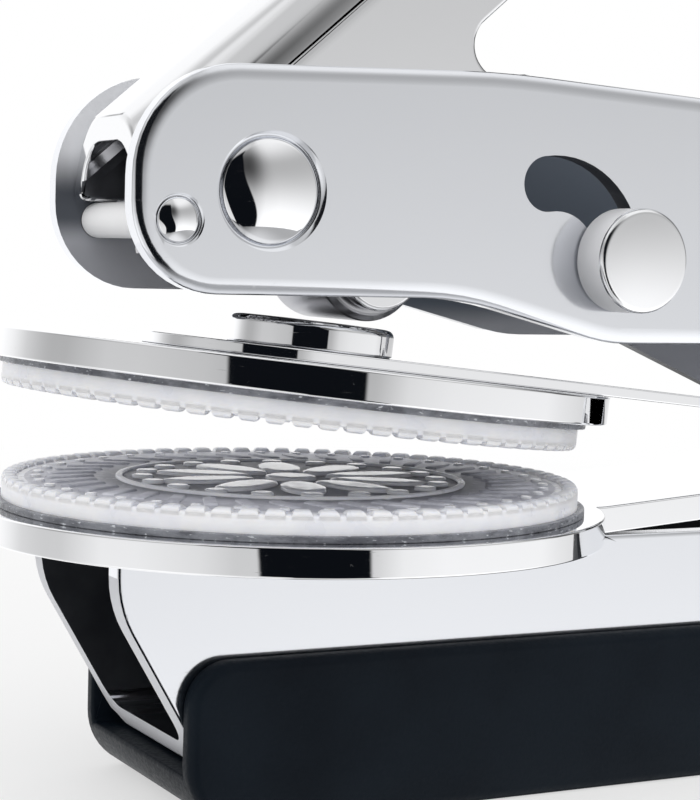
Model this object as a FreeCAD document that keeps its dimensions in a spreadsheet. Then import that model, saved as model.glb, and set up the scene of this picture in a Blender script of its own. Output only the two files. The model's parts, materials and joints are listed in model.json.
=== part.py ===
"""Desk seal embosser: a folded steel press frame in a rubber boot, a lever with a roller, a lock in curved
slots and a removable clip that carries the two round dies.

X runs from the nose (negative) to the rear, +Z is up, and the near side is -Y. The origin lies on the table
under the axis of the dies. The lever stands raised and the clip is open.
"""
import FreeCAD
import Part
import Sketcher
import math
import os
import re

# Driving dimensions, millimetres and degrees.
SIZES = {
    # rubber boot
    "boot_floor": 3.6, "boot_wall": 1.55, "boot_wall_top": 11.8, "boot_front": 11.7, "boot_end_wall": 2.4,
    "boot_gap": 0.1, "boot_plan_round": 3.0, "boot_lip_round": 2.5, "boot_foot_round": 4.5,
    # folded frame channel
    "frame_width": 16.7, "frame_sheet": 1.6, "frame_bend": 3.2, "rail_height": 14.7, "frame_back": 112.0,
    "foot_front": 9.7, "rail_front": 16.3, "rail_front_round": 7.5, "rail_slope": 3.4, "edge_round": 0.4,
    "tail_x": 81.5, "tail_height": 11.7, "tail_round": 5.0, "tail_dip_round": 12.0, "heel_round": 3.0,
    # throat and head of the frame
    "throat_back": 64.6, "throat_height": 7.8, "throat_round": 2.5,
    "slope_back": 43.8, "slope_low": 27.5, "slope_round": 4.0,
    "belly_back": 31.8, "belly_front": 21.5, "belly_low": 32.4,
    "belly_back_round": 8.0, "belly_front_round": 14.0,
    "nose_edge_back": 9.0, "nose_edge_round": 25.0, "nose_front": 15.7, "nose_low": 35.5, "nose_high": 50.4,
    "nose_low_round": 6.0, "nose_high_round": 7.6,
    "crown_x": 12.0, "crown_high": 51.4, "crown_round": 80.0,
    "shoulder_x": 31.0, "shoulder_high": 50.5, "shoulder_round": 25.0,
    "neck_x": 60.0, "neck_high": 43.2, "neck_round": 16.0,
    # cross pins, each with a domed head sunk into an eased seat in both cheeks
    "pivot_x": -5.9, "pivot_z": 42.4, "pivot_radius": 3.0, "pivot_head": 3.5, "pivot_dome": 1.15,
    "pivot_ease": 0.5,
    "stop_x": -12.5, "stop_z": 40.3, "stop_radius": 1.25, "stop_head": 1.5, "stop_dome": 0.5,
    "stop_ease": 0.25,
    "tie_x": 72.0, "tie_z": 19.5, "tie_radius": 2.0, "tie_head": 2.5, "tie_dome": 0.8, "tie_ease": 0.4,
    "head_seat": 0.8, "head_rim": 0.2,
    # lever channel
    "rest_angle": 41.0, "swing_angle": 27.0, "lever_side_gap": 0.25, "lever_sheet": 1.5, "lever_bend": 5.0,
    "lever_back": 9.4, "lever_edge": 2.1, "lever_long": 118.0, "lever_tip_round": 6.0,
    "lever_foot_round": 3.0, "back_front": 3.2, "hub_front": 5.3, "hub_front_rise": 0.8,
    "hub_low": 4.6, "hub_low_along": 3.6, "hub_round": 2.2, "hub_low_round": 3.0,
    "lobe_neck_drop": 6.5, "lobe_neck_round": 1.5,
    "lip_fore": 2.0, "lip_aft": 1.75, "lip_round": 0.5, "stop_gap": 0.05,
    "bush_radius": 4.0, "pin_play": 0.05, "press_play": 0.02,
    # press roller and the lever's lobe that carries it
    "roller_along": 4.11, "roller_below": 9.8, "roller_radius": 4.0, "roller_side_gap": 0.3,
    "roller_edge": 0.5, "roller_pin_radius": 1.3, "lobe_radius": 3.2, "lobe_back_step": 0.3, "press_gap": 0.4,
    # full rounds keep this share of the half width, so that a short straight stays between them
    "round_share": 0.98,
    # lock: cross pin in two curved slots, latch notch in the lever
    "slot_x": 16.55, "slot_z": 38.47, "slot_reach": 5.35, "slot_angle": 100.0, "slot_play": 0.1,
    "lock_radius": 1.88, "lock_button": 3.75, "lock_button_high": 3.5, "lock_button_bevel": 0.4,
    "lock_side_gap": 0.15, "lock_spigot": 1.2, "lock_spigot_long": 2.0,
    "notch_play": 0.3, "notch_corner": 1.0, "notch_rise": 3.0, "notch_rise_round": 2.0,
    "latch_tip": 1.32, "latch_lip_round": 1.9, "latch_drop": 4.15,
    # clip with the dies
    "plate_gap": 0.1, "plate_radius": 22.5, "plate_thick": 2.0, "pad_radius": 21.0, "pad_thick": 0.45,
    "die_radius": 20.5, "die_thick": 1.55, "bead_count": 76, "bead_high": 0.5, "bead_ring": 1.1,
    "bead_gap": 1.0, "bead_gap_low": 0.5, "band_radius": 12.5, "band_wide": 0.5, "band_high": 0.2,
    "paper_gap": 0.15, "boss_gap": 0.15, "boss_high": 2.2, "arm_inset": 0.05, "arm_start": 21.6,
    "arm_start_round": 12.0, "arm_knee": 39.0, "arm_rise": 1.37, "arm_knee_round": 25.0,
    "seat_front": 52.4, "seat_round": 5.0, "clip_back": 63.0, "clip_back_round": 2.0,
    "bend_x": 40.0, "leaf_thick": 0.8, "leaf_width": 18.4, "leaf_front": 11.3, "leaf_slit": 0.1,
    "button_x": 0.9, "button_radius": 6.05, "button_bevel": 0.35,
    "clip_rivet_x": 55.8, "clip_rivet_pitch": 4.8, "clip_rivet_radius": 1.3, "clip_rivet_head": 2.2,
    "clip_rivet_high": 0.8, "clip_rivet_bevel": 0.4,
    # countersunk screws of the boot
    "screw_x": 12.0, "screw_pitch": 80.0, "screw_radius": 1.7, "screw_head": 3.4, "screw_rim": 0.3,
    "screw_head_deep": 1.8, "screw_sunk": 0.5, "screw_long": 6.8,
    # return spring round the pivot bush
    "wire_radius": 0.5, "coil_play": 0.3, "coil_turns": 3.75, "coil_pitch": 1.1, "coil_side": 3.2,
    "coil_gap": 0.15, "leg_over": 0.8, "leg_gap": 0.03, "arm_reach": 16.0,
}

# Lengths, places and angles that follow from the driving dimensions.
DERIVED = {
    "channel_bottom": "boot_floor + boot_gap",
    "rail_top": "channel_bottom + rail_height",
    "throat_top": "rail_top + throat_height",
    "tail_top": "channel_bottom + tail_height",
    "cutter_long": "frame_width + 2 * frame_sheet",
    "inner_width": "frame_width - 2 * frame_sheet",
    "boot_width": "frame_width + 2 * (boot_gap + boot_wall)",
    "boot_back": "frame_back + boot_gap + boot_end_wall",
    # what fits between the frame's cheeks
    "lever_width": "inner_width - 2 * lever_side_gap",
    "roller_long": "lever_width - 2 * lever_sheet - 2 * roller_side_gap",
    "boss_radius": "inner_width / 2 - boss_gap",
    "arm_width": "frame_width - 2 * arm_inset",
    # lever angle when the dies are shut
    "shut_angle": "rest_angle - swing_angle",
    # stop pin as the raised lever sees it, along the lever and square to it
    "stop_along": "(stop_x - pivot_x) * cos(rest_angle) + (stop_z - pivot_z) * sin(rest_angle)",
    "stop_up": "(stop_z - pivot_z) * cos(rest_angle) - (stop_x - pivot_x) * sin(rest_angle)",
    "lip_along": "stop_along + (stop_radius + stop_gap) * sin(rest_angle)",
    "lip_up": "stop_up + (stop_radius + stop_gap) * cos(rest_angle)",
    # slot centre and locked pin as the shut lever sees them
    "swing_along": "(slot_x - pivot_x) * cos(shut_angle) + (slot_z - pivot_z) * sin(shut_angle)",
    "swing_up": "(slot_z - pivot_z) * cos(shut_angle) - (slot_x - pivot_x) * sin(shut_angle)",
    "locked_x": "slot_x + slot_reach * cos(slot_angle)",
    "locked_z": "slot_z + slot_reach * sin(slot_angle)",
    "catch_along": "(locked_x - pivot_x) * cos(shut_angle) + (locked_z - pivot_z) * sin(shut_angle)",
    "catch_up": "(locked_z - pivot_z) * cos(shut_angle) - (locked_x - pivot_x) * sin(shut_angle)",
    "notch_half": "lock_radius + notch_play",
    "lip_tip": "swing_along + latch_tip",
    # clip, stacked on the rails
    "plate_bottom": "rail_top + plate_gap",
    "plate_top": "plate_bottom + plate_thick",
    "low_die_bottom": "plate_top + pad_thick",
    "low_die_top": "low_die_bottom + die_thick",
    "up_die_bottom": "low_die_top + paper_gap",
    "up_die_top": "up_die_bottom + die_thick",
    "disc_bottom": "up_die_top + pad_thick",
    "disc_top": "disc_bottom + plate_thick",
    "leaf_mid": "disc_top + leaf_thick / 2",
    "leaf_top": "disc_top + leaf_thick",
    # roller, shut and raised
    "roller_shut_z": "pivot_z + roller_along * sin(shut_angle) - roller_below * cos(shut_angle)",
    "roller_rest_x": "pivot_x + roller_along * cos(rest_angle) + roller_below * sin(rest_angle)",
    "roller_rest_z": "pivot_z + roller_along * sin(rest_angle) - roller_below * cos(rest_angle)",
    "button_top": "roller_shut_z - roller_radius - press_gap",
    # the open clip lifts until its button is as near to the raised roller as when shut
    "bend_reach": "hypot(bend_x - roller_rest_x; roller_rest_z - leaf_mid)",
    "roller_height": "button_top - leaf_mid + roller_radius + press_gap",
    "clip_tilt": "atan2(roller_rest_z - leaf_mid; bend_x - roller_rest_x) - asin(roller_height / bend_reach)",
    # underside of the leaf's fixed root, where the lower arm meets it
    "seat_at_bend": "leaf_mid - leaf_thick / 2 / cos(clip_tilt)",
    "seat_front_z": "seat_at_bend - (seat_front - bend_x) * tan(clip_tilt)",
    "clip_back_z": "seat_at_bend - (clip_back - bend_x) * tan(clip_tilt)",
    "rivet_seat_z": "seat_at_bend - (clip_rivet_x - bend_x) * tan(clip_tilt)",
    "arm_square": "plate_thick * cos(clip_tilt)",
    # spring: the coil, the tip of its leg under the stop pin, the end turn and the tip of its own leg
    "coil_radius": "bush_radius + coil_play + wire_radius",
    "leg_x": "stop_x - pivot_x - leg_over",
    "leg_z": "stop_z - pivot_z - stop_radius - leg_gap - wire_radius",
    "arm_y": "-coil_side + coil_turns * coil_pitch + 2 * wire_radius + coil_gap",
    "arm_up": "lever_back - lever_sheet - leg_gap - wire_radius",
}

doc = FreeCAD.newDocument("SealEmbosser")
sheet = doc.addObject("Spreadsheet::Sheet", "Sizes")
for row, (alias, number) in enumerate(SIZES.items(), start=1):
    sheet.set(f"A{row}", alias)
    sheet.set(f"B{row}", str(number))
    sheet.setAlias(f"B{row}", alias)
doc.recompute()

OWNER = {alias: "Sizes." for alias in SIZES}
places = doc.addObject("App::VarSet", "Places")


def bound(text):
    """An expression written with bare size names, as the document needs it."""
    return re.sub(r"[A-Za-z_]\w*", lambda word: OWNER.get(word.group(), "") + word.group(), str(text))


def value(text):
    """What an expression comes to now."""
    return float(places.evalExpression(bound(text)))


for name, formula in DERIVED.items():
    places.addProperty("App::PropertyFloat", name)
    places.setExpression(name, bound(formula))
    OWNER[name] = "Places."
    doc.recompute()


# ----------------------------------------------------------------------------------------------------
# helpers: sketches and PartDesign features


def bind(thing, **expressions):
    """Bind properties of an object; a double underscore stands for a dot."""
    for path, text in expressions.items():
        thing.setExpression(path.replace("__", "."), bound(text))
    return thing


def origin_feature(body, role):
    return next(item for item in body.Origin.OriginFeatures if item.Role == role)


def new_body(name):
    return doc.addObject("PartDesign::Body", name)


def new_sketch(body, plane, lift="0"):
    """Empty sketch on an origin plane, lifted along the plane's normal."""
    sketch = body.newObject("Sketcher::SketchObject", f"{body.Name}_{plane}_outline")
    sketch.AttachmentSupport = (origin_feature(body, f"{plane}_Plane"), [""])
    sketch.MapMode = "FlatFace"
    bind(sketch, AttachmentOffset__Base__z=lift)
    return sketch


def pin_point(sketch, geometry, point, x, y):
    """Hold a sketch point at (x, y), both expressions."""
    for kind, text, axis in (("DistanceX", x, -2), ("DistanceY", y, -1)):
        if str(text) == "0":
            sketch.addConstraint(Sketcher.Constraint("PointOnObject", geometry, point, axis))
        else:
            index = sketch.addConstraint(Sketcher.Constraint(kind, -1, 1, geometry, point, value(text)))
            sketch.setExpression(f"Constraints[{index}]", bound(text))


def draw_circle(sketch, x, y, radius):
    centre = FreeCAD.Vector(value(x), value(y), 0)
    circle = sketch.addGeometry(Part.Circle(centre, FreeCAD.Vector(0, 0, 1), value(radius)), False)
    pin_point(sketch, circle, 3, x, y)
    index = sketch.addConstraint(Sketcher.Constraint("Radius", circle, value(radius)))
    sketch.setExpression(f"Constraints[{index}]", bound(radius))


def draw_outline(sketch, corners):
    """Closed outline of straight edges; each corner is (x, y) or (x, y, rounding radius)."""
    count = len(corners)
    points = [FreeCAD.Vector(value(corner[0]), value(corner[1]), 0) for corner in corners]
    radii = [value(corner[2]) if len(corner) > 2 else 0.0 for corner in corners]
    cut_back = []
    for i in range(count):
        before = (points[i - 1] - points[i]).normalize()
        after = (points[(i + 1) % count] - points[i]).normalize()
        cut_back.append((before, after, radii[i] / math.tan(before.getAngle(after) / 2)))
    edges = []
    for i in range(count):
        after = (i + 1) % count
        start = points[i] + cut_back[i][1] * cut_back[i][2]
        end = points[after] + cut_back[after][0] * cut_back[after][2]
        edges.append(sketch.addGeometry(Part.LineSegment(start, end), False))
    for i, corner in enumerate(corners):
        before, after, reach = cut_back[i]
        if radii[i] == 0:
            sketch.addConstraint(Sketcher.Constraint("Coincident", edges[i - 1], 2, edges[i], 1))
            pin_point(sketch, edges[i], 1, corner[0], corner[1])
            continue
        start = points[i] + before * reach
        end = points[i] + after * reach
        inward = (before + after).normalize()
        centre = points[i] + inward * math.hypot(reach, radii[i])
        left_turn = before.cross(after).z < 0
        first, last = (start, end) if left_turn else (end, start)
        circle = Part.Circle(centre, FreeCAD.Vector(0, 0, 1), radii[i])
        angles = [math.atan2(point.y - centre.y, point.x - centre.x) for point in (first, last)]
        arc = sketch.addGeometry(Part.ArcOfCircle(circle, angles[0], angles[1]), False)
        tip = sketch.addGeometry(Part.Point(points[i]), True)
        enter, leave = (1, 2) if left_turn else (2, 1)
        sketch.addConstraint(Sketcher.Constraint("Tangent", edges[i - 1], 2, arc, enter))
        sketch.addConstraint(Sketcher.Constraint("Tangent", edges[i], 1, arc, leave))
        sketch.addConstraint(Sketcher.Constraint("PointOnObject", tip, 1, edges[i - 1]))
        sketch.addConstraint(Sketcher.Constraint("PointOnObject", tip, 1, edges[i]))
        pin_point(sketch, tip, 1, corner[0], corner[1])
        index = sketch.addConstraint(Sketcher.Constraint("Radius", arc, radii[i]))
        sketch.setExpression(f"Constraints[{index}]", bound(corner[2]))


def add_pad(body, sketch, length, both_ways=False):
    pad = body.newObject("PartDesign::Pad", f"{body.Name}_pad")
    pad.Profile = sketch
    pad.Midplane = both_ways
    return bind(pad, Length=length)


def plate_body(name, plane, corners, length, lift="0", both_ways=False):
    """Body of one padded outline."""
    body = new_body(name)
    sketch = new_sketch(body, plane, lift)
    draw_outline(sketch, corners)
    add_pad(body, sketch, length, both_ways)
    return body


def disc_body(name, radius, thick, lift, x="0"):
    """Body of one padded circle, lying flat."""
    body = new_body(name)
    sketch = new_sketch(body, "XY", lift)
    draw_circle(sketch, x, "0", radius)
    add_pad(body, sketch, thick)
    return body


def turned_body(name, corners, axis="V_Axis"):
    """Body turned from a half section (radius, height) in the XZ plane."""
    body = new_body(name)
    sketch = new_sketch(body, "XZ")
    draw_outline(sketch, corners)
    turn = body.newObject("PartDesign::Revolution", f"{name}_turn")
    turn.Profile = sketch
    turn.ReferenceAxis = (sketch, [axis])
    turn.Angle = 360
    return body


def rim(radius, height, bevel, inward="-"):
    """Two corners of a bevelled rim, flank first; inward is the sign from the end face into the piece."""
    return [(radius, f"{height} {inward} {bevel}"), (f"{radius} - {bevel}", height)]


def in_row(body, pitch):
    """Repeat the body's last feature once along X, as a separate solid."""
    first = body.Tip
    row = body.newObject("PartDesign::LinearPattern", f"{body.Name}_row")
    row.Originals = [first]
    row.Direction = (origin_feature(body, "X_Axis"), [""])
    row.Occurrences = 2
    body.Tip = row
    bind(row, Length=pitch)
    return body


# ----------------------------------------------------------------------------------------------------
# helpers: Part primitives, booleans and places

ACROSS = FreeCAD.Rotation(FreeCAD.Vector(1, 0, 0), 90)


def set_base(thing, x="0", y="0", z="0"):
    return bind(thing, Placement__Base__x=x, Placement__Base__y=y, Placement__Base__z=z)


def cross_rod(name, radius, length, x, z):
    """Cylinder across the machine, centred on its middle plane."""
    rod = doc.addObject("Part::Cylinder", name)
    rod.Placement = FreeCAD.Placement(FreeCAD.Vector(), ACROSS)
    bind(rod, Radius=radius, Height=length)
    return set_base(rod, x, f"({length}) / 2", z)


def joined(name, pieces):
    union = doc.addObject("Part::MultiFuse", name)
    union.Shapes = pieces
    return union


def cut_away(name, base, tools):
    cut = doc.addObject("Part::Cut", name)
    cut.Base = base
    cut.Tool = tools[0] if len(tools) == 1 else joined(f"{name}_tools", tools)
    return cut


def common_part(name, first, second):
    common = doc.addObject("Part::Common", name)
    common.Base = first
    common.Tool = second
    return common


def tilt_about_y(thing, angle):
    """Turn an object by an expression of degrees about +Y; its base is bound apart."""
    thing.Placement = FreeCAD.Placement(FreeCAD.Vector(), FreeCAD.Rotation(FreeCAD.Vector(0, 1, 0), 1))
    return bind(thing, Placement__Rotation__Angle=angle)


def on_lever(thing):
    """From lever coordinates (along, across, up from the pivot) to the raised lever."""
    tilt_about_y(thing, "-rest_angle")
    return set_base(thing, "pivot_x", "0", "pivot_z")


def on_open_clip(thing, x="0"):
    """From the shut clip, where it stands at x, to the open one, turned about the leaf's bending line."""
    tilt_about_y(thing, "clip_tilt")
    base_x = f"bend_x - (bend_x - {x}) * cos(clip_tilt) - leaf_mid * sin(clip_tilt)"
    base_z = f"leaf_mid + (bend_x - {x}) * sin(clip_tilt) - leaf_mid * cos(clip_tilt)"
    return set_base(thing, base_x, "0", base_z)


NODES = {}


def node(label, thing):
    thing.Label = label
    NODES[label] = thing
    return thing


# ----------------------------------------------------------------------------------------------------
# frame and boot


def channel_section(name, width, sheet_thick, bend, closed_at, open_at, length):
    """Straight folded channel along X: its web at one height, its two edges at another."""
    up = "+" if value(open_at) > value(closed_at) else "-"
    half = f"({width}) / 2"
    inner = f"({half} - {sheet_thick})"
    web_inside = f"{closed_at} {up} {sheet_thick}"
    return plate_body(name, "YZ", [
        (f"-{half}", open_at),
        (f"-{half}", closed_at, bend),
        (half, closed_at, bend),
        (half, open_at),
        (inner, open_at),
        (inner, web_inside, f"{bend} - {sheet_thick}"),
        (f"-{inner}", web_inside, f"{bend} - {sheet_thick}"),
        (f"-{inner}", open_at),
    ], length, both_ways=True)


def frame_outline():
    """Side view of the frame: a low channel, the throat for the clip and the head with its nose."""
    return plate_body("FrameSide", "XZ", [
        ("-foot_front", "channel_bottom", "edge_round"),
        ("-rail_front", "rail_top - rail_slope", "rail_front_round"),
        ("-rail_front", "rail_top", "edge_round"),
        ("throat_back", "rail_top", "throat_round"),
        ("throat_back", "throat_top", "throat_round"),
        ("slope_back", "slope_low", "slope_round"),
        ("belly_back", "belly_low", "belly_back_round"),
        ("belly_front", "belly_low", "belly_front_round"),
        ("nose_edge_back", "nose_low", "nose_edge_round"),
        ("-nose_front", "nose_low", "nose_low_round"),
        ("-nose_front", "nose_high", "nose_high_round"),
        ("crown_x", "crown_high", "crown_round"),
        ("shoulder_x", "shoulder_high", "shoulder_round"),
        ("neck_x", "neck_high", "neck_round"),
        ("tail_x", "tail_top", "tail_dip_round"),
        ("frame_back", "tail_top", "tail_round"),
        ("frame_back", "channel_bottom", "heel_round"),
    ], "cutter_long", both_ways=True)


def slot_cutter():
    """Curved slot through both cheeks: a ring sector with round ends."""
    half = "(lock_radius + slot_play)"
    sector = cross_rod("SlotSector", f"slot_reach + {half}", "cutter_long", "slot_x", "slot_z")
    bind(sector, Angle="slot_angle")
    core = cross_rod("SlotCore", f"slot_reach - {half}", "2 * cutter_long", "slot_x", "slot_z")
    ring = cut_away("SlotRing", sector, [core])
    low_end = cross_rod("SlotLowEnd", half, "cutter_long", "slot_x + slot_reach", "slot_z")
    high_end = cross_rod("SlotHighEnd", half, "cutter_long", "locked_x", "locked_z")
    return joined("SlotCutter", [ring, low_end, high_end])


def screw_row(name, play="0"):
    """Two countersunk screws that point up from under the boot; with play, the holes they need."""
    head_low = "screw_sunk" if play == "0" else "-screw_sunk"
    corners = [
        ("0", head_low),
        (f"screw_head + {play}", head_low),
        (f"screw_head + {play}", f"screw_sunk + screw_rim + {play}"),
        (f"screw_radius + {play}", f"screw_sunk + screw_head_deep + {play}"),
        (f"screw_radius + {play}", f"screw_long + {play}"),
        ("0", f"screw_long + {play}"),
    ]
    return set_base(in_row(turned_body(name, corners), "screw_pitch"), "screw_x")


def sunk_hole(name, prefix):
    """Hole through both cheeks with a seat for the pin's head and an eased mouth."""
    radius = f"{prefix}_radius + press_play"
    head = f"{prefix}_head + press_play"
    mouth = f"{prefix}_head + {prefix}_ease"
    face = "(frame_width / 2)"
    seat = f"({face} - head_seat)"
    mouth_low = f"({face} - {prefix}_ease + press_play)"
    hole = turned_body(name, [
        ("0", "-frame_width"),
        (mouth, "-frame_width"),
        (mouth, f"-{face}"),
        (head, f"-{mouth_low}"),
        (head, f"-{seat}"),
        (radius, f"-{seat}"),
        (radius, seat),
        (head, seat),
        (head, mouth_low),
        (mouth, face),
        (mouth, "frame_width"),
        ("0", "frame_width"),
    ])
    hole.Placement = FreeCAD.Placement(FreeCAD.Vector(), ACROSS)
    return set_base(hole, f"{prefix}_x", "0", f"{prefix}_z")


def make_frame():
    section = channel_section("FrameSection", "frame_width", "frame_sheet", "frame_bend",
                              "channel_bottom", "crown_high + frame_sheet", "3 * frame_back")
    blank = common_part("FrameBlank", section, frame_outline())
    holes = [
        sunk_hole("PivotHole", "pivot"),
        sunk_hole("StopHole", "stop"),
        sunk_hole("TieHole", "tie"),
        slot_cutter(),
        screw_row("WebScrewHoles", "press_play"),
    ]
    node("press_frame", cut_away("PressFrame", blank, holes))


def make_boot():
    plan = plate_body("BootPlan", "XY", [
        ("-boot_front", "-boot_width / 2", "boot_plan_round"),
        ("boot_back", "-boot_width / 2", "boot_plan_round"),
        ("boot_back", "boot_width / 2", "boot_plan_round"),
        ("-boot_front", "boot_width / 2", "boot_plan_round"),
    ], "boot_wall_top")
    side = plate_body("BootSide", "XZ", [
        ("-boot_front", "0", "boot_foot_round"),
        ("-boot_front", "boot_wall_top", "boot_lip_round"),
        ("boot_back", "boot_wall_top", "boot_lip_round"),
        ("boot_back", "0", "boot_foot_round"),
    ], "2 * boot_width", both_ways=True)
    well_half = "(frame_width / 2 + boot_gap)"
    well = plate_body("BootWell", "XY", [
        ("-2 * boot_front", f"-{well_half}"),
        ("frame_back + boot_gap", f"-{well_half}"),
        ("frame_back + boot_gap", well_half),
        ("-2 * boot_front", well_half),
    ], "boot_wall_top", lift="boot_floor")
    blank = common_part("BootBlank", plan, side)
    node("base_boot", cut_away("BaseBoot", blank, [well, screw_row("BootScrewHoles", "pin_play")]))
    node("base_screws", screw_row("BaseScrews"))


def sunk_pin(label, prefix):
    """Pin across the frame; both of its heads are domed and sit in the seats of their holes."""
    radius, head = f"{prefix}_radius", f"{prefix}_head"
    seat = "(frame_width / 2 - head_seat)"
    edge = "(frame_width / 2 - head_rim)"
    crown = f"({edge} + {prefix}_dome)"
    chord = f"({head} ^ 2 + {prefix}_dome ^ 2)"
    dome_corner = f"{chord} / (2 * {head})"
    dome_round = f"{chord} / (2 * {prefix}_dome) * round_share"
    pin = turned_body(label, [
        ("0", f"-{crown}"),
        (dome_corner, f"-{crown}", dome_round),
        (head, f"-{edge}"),
        (head, f"-{seat}"),
        (radius, f"-{seat}"),
        (radius, seat),
        (head, seat),
        (head, edge),
        (dome_corner, crown, dome_round),
        ("0", crown),
    ])
    pin.Placement = FreeCAD.Placement(FreeCAD.Vector(), ACROSS)
    return node(label, set_base(pin, f"{prefix}_x", "0", f"{prefix}_z"))


# ----------------------------------------------------------------------------------------------------
# lever, roller and lock


def lever_outline():
    """Side view of the lever: hub with the stop lip, roller lobe, latch and the long straight arm."""
    lobe_low = "-roller_below - lobe_radius"
    notch_low = "catch_up - notch_half"
    notch_high = "catch_up + notch_half"
    return plate_body("LeverSide", "XZ", [
        ("-back_front", "lever_back", "lip_round"),
        ("lip_along - lip_fore * cos(rest_angle)", "lip_up + lip_fore * sin(rest_angle)", "lip_round"),
        ("lip_along + lip_aft * cos(rest_angle)", "lip_up - lip_aft * sin(rest_angle)", "lip_round"),
        ("-hub_front", "hub_front_rise", "hub_round"),
        ("-hub_low_along", "-hub_low", "hub_low_round"),
        ("roller_along - lobe_radius", "-lobe_neck_drop", "lobe_neck_round"),
        ("roller_along - lobe_radius", lobe_low, "lobe_radius * round_share"),
        ("roller_along + lobe_radius", lobe_low, "lobe_radius * round_share"),
        ("roller_along + lobe_radius + lobe_back_step", "swing_up", "notch_corner"),
        ("lip_tip", f"{notch_low} - latch_drop", "latch_lip_round"),
        ("lip_tip", notch_low, "latch_lip_round"),
        ("catch_along - notch_half", notch_low, "notch_half * round_share"),
        ("catch_along - notch_half", notch_high, "notch_half * round_share"),
        ("catch_along + notch_half + notch_corner", notch_high, "notch_corner"),
        ("catch_along + notch_half + notch_rise", "-lever_edge", "notch_rise_round"),
        ("lever_long", "-lever_edge", "lever_foot_round"),
        ("lever_long", "lever_back", "lever_tip_round"),
    ], "2 * lever_width", both_ways=True)


def make_lever():
    section = channel_section("LeverSection", "lever_width", "lever_sheet", "lever_bend",
                              "lever_back", "-2 * roller_below", "3 * lever_long")
    blank = common_part("LeverBlank", section, lever_outline())
    pin_hole = "roller_pin_radius + press_play"
    holes = [
        cross_rod("BushHole", "bush_radius + press_play", "cutter_long", "0", "0"),
        cross_rod("RollerPinHole", pin_hole, "cutter_long", "roller_along", "-roller_below"),
    ]
    node("lever_channel", on_lever(cut_away("LeverChannel", blank, holes)))
    tube = cross_rod("BushTube", "bush_radius", "lever_width", "0", "0")
    bore = cross_rod("BushBore", "pivot_radius + pin_play", "2 * lever_width", "0", "0")
    node("pivot_bush", on_lever(cut_away("PivotBush", tube, [bore])))
    pin = cross_rod("RollerPin", "roller_pin_radius", "lever_width", "roller_rest_x", "roller_rest_z")
    node("roller_pin", pin)


def make_roller():
    """Hardened roller with a bore and broken edges."""
    bore = "roller_pin_radius + pin_play"
    roller = turned_body("PressRoller", [
        (bore, "-roller_long / 2"),
        *reversed(rim("roller_radius", "-roller_long / 2", "roller_edge", "+")),
        *rim("roller_radius", "roller_long / 2", "roller_edge"),
        (bore, "roller_long / 2"),
    ])
    roller.Placement = FreeCAD.Placement(FreeCAD.Vector(), ACROSS)
    node("press_roller", set_base(roller, "roller_rest_x", "0", "roller_rest_z"))


def lock_button(label, sign):
    """Round thumb button with a blind hole for the pin's spigot."""
    inner = "(frame_width / 2 + lock_side_gap)"
    hole = "lock_spigot + press_play"
    bottom = "lock_spigot_long + pin_play"
    button = turned_body(label, [
        (hole, "0"),
        ("lock_button", "0"),
        *rim("lock_button", "lock_button_high", "lock_button_bevel"),
        ("0", "lock_button_high"),
        ("0", bottom),
        (hole, bottom),
    ])
    outward = FreeCAD.Rotation(FreeCAD.Vector(1, 0, 0), -90 * sign)
    button.Placement = FreeCAD.Placement(FreeCAD.Vector(), outward)
    node(label, set_base(button, "slot_x + slot_reach", f"{sign} * {inner}", "slot_z"))


def make_lock():
    """Cross pin in the lower, free end of the slots, between its two buttons."""
    shoulder = "(frame_width / 2 + lock_side_gap)"
    end = f"({shoulder} + lock_spigot_long)"
    pin = turned_body("LockPin", [
        ("0", f"-{end}"),
        ("lock_spigot", f"-{end}"),
        ("lock_spigot", f"-{shoulder}"),
        ("lock_radius", f"-{shoulder}"),
        ("lock_radius", shoulder),
        ("lock_spigot", shoulder),
        ("lock_spigot", end),
        ("0", end),
    ])
    pin.Placement = FreeCAD.Placement(FreeCAD.Vector(), ACROSS)
    node("lock_pin", set_base(pin, "slot_x + slot_reach", "0", "slot_z"))
    lock_button("lock_button_near", -1)
    lock_button("lock_button_far", 1)


# ----------------------------------------------------------------------------------------------------
# return spring


def draw_arc_and_tangent(sketch, begin, end, tip_x, tip_z, tip_first):
    """Arc about the origin with one end on an axis and a straight run tangent to its other end."""
    radius = value("coil_radius")
    tip = FreeCAD.Vector(value(tip_x), value(tip_z), 0)
    circle = Part.Circle(FreeCAD.Vector(), FreeCAD.Vector(0, 0, 1), radius)
    arc = sketch.addGeometry(Part.ArcOfCircle(circle, begin, end), False)
    joint_angle = begin if tip_first else end
    joint = FreeCAD.Vector(radius * math.cos(joint_angle), radius * math.sin(joint_angle), 0)
    run = sketch.addGeometry(Part.LineSegment(joint, tip), False)
    sketch.addConstraint(Sketcher.Constraint("Coincident", arc, 3, -1, 1))
    index = sketch.addConstraint(Sketcher.Constraint("Radius", arc, radius))
    sketch.setExpression(f"Constraints[{index}]", bound("coil_radius"))
    leaving, on_axis, axis = (1, 2, -2) if tip_first else (2, 1, -1)
    sketch.addConstraint(Sketcher.Constraint("PointOnObject", arc, on_axis, axis))
    sketch.addConstraint(Sketcher.Constraint("Tangent", run, 1, arc, leaving))
    pin_point(sketch, run, 2, tip_x, tip_z)


def draw_wire(sketch, x, y):
    """Eight-sided section of the spring wire round (x, y)."""
    corners = []
    for turn in range(8):
        angle = 22.5 + 45 * turn
        corners.append((f"{x} + wire_radius * cos({angle})", f"{y} + wire_radius * sin({angle})"))
    draw_outline(sketch, corners)


def wire_along(body, profile, path):
    pipe = body.newObject("PartDesign::AdditivePipe", f"{body.Name}_run")
    pipe.Profile = profile
    pipe.Spine = path
    return pipe


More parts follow.
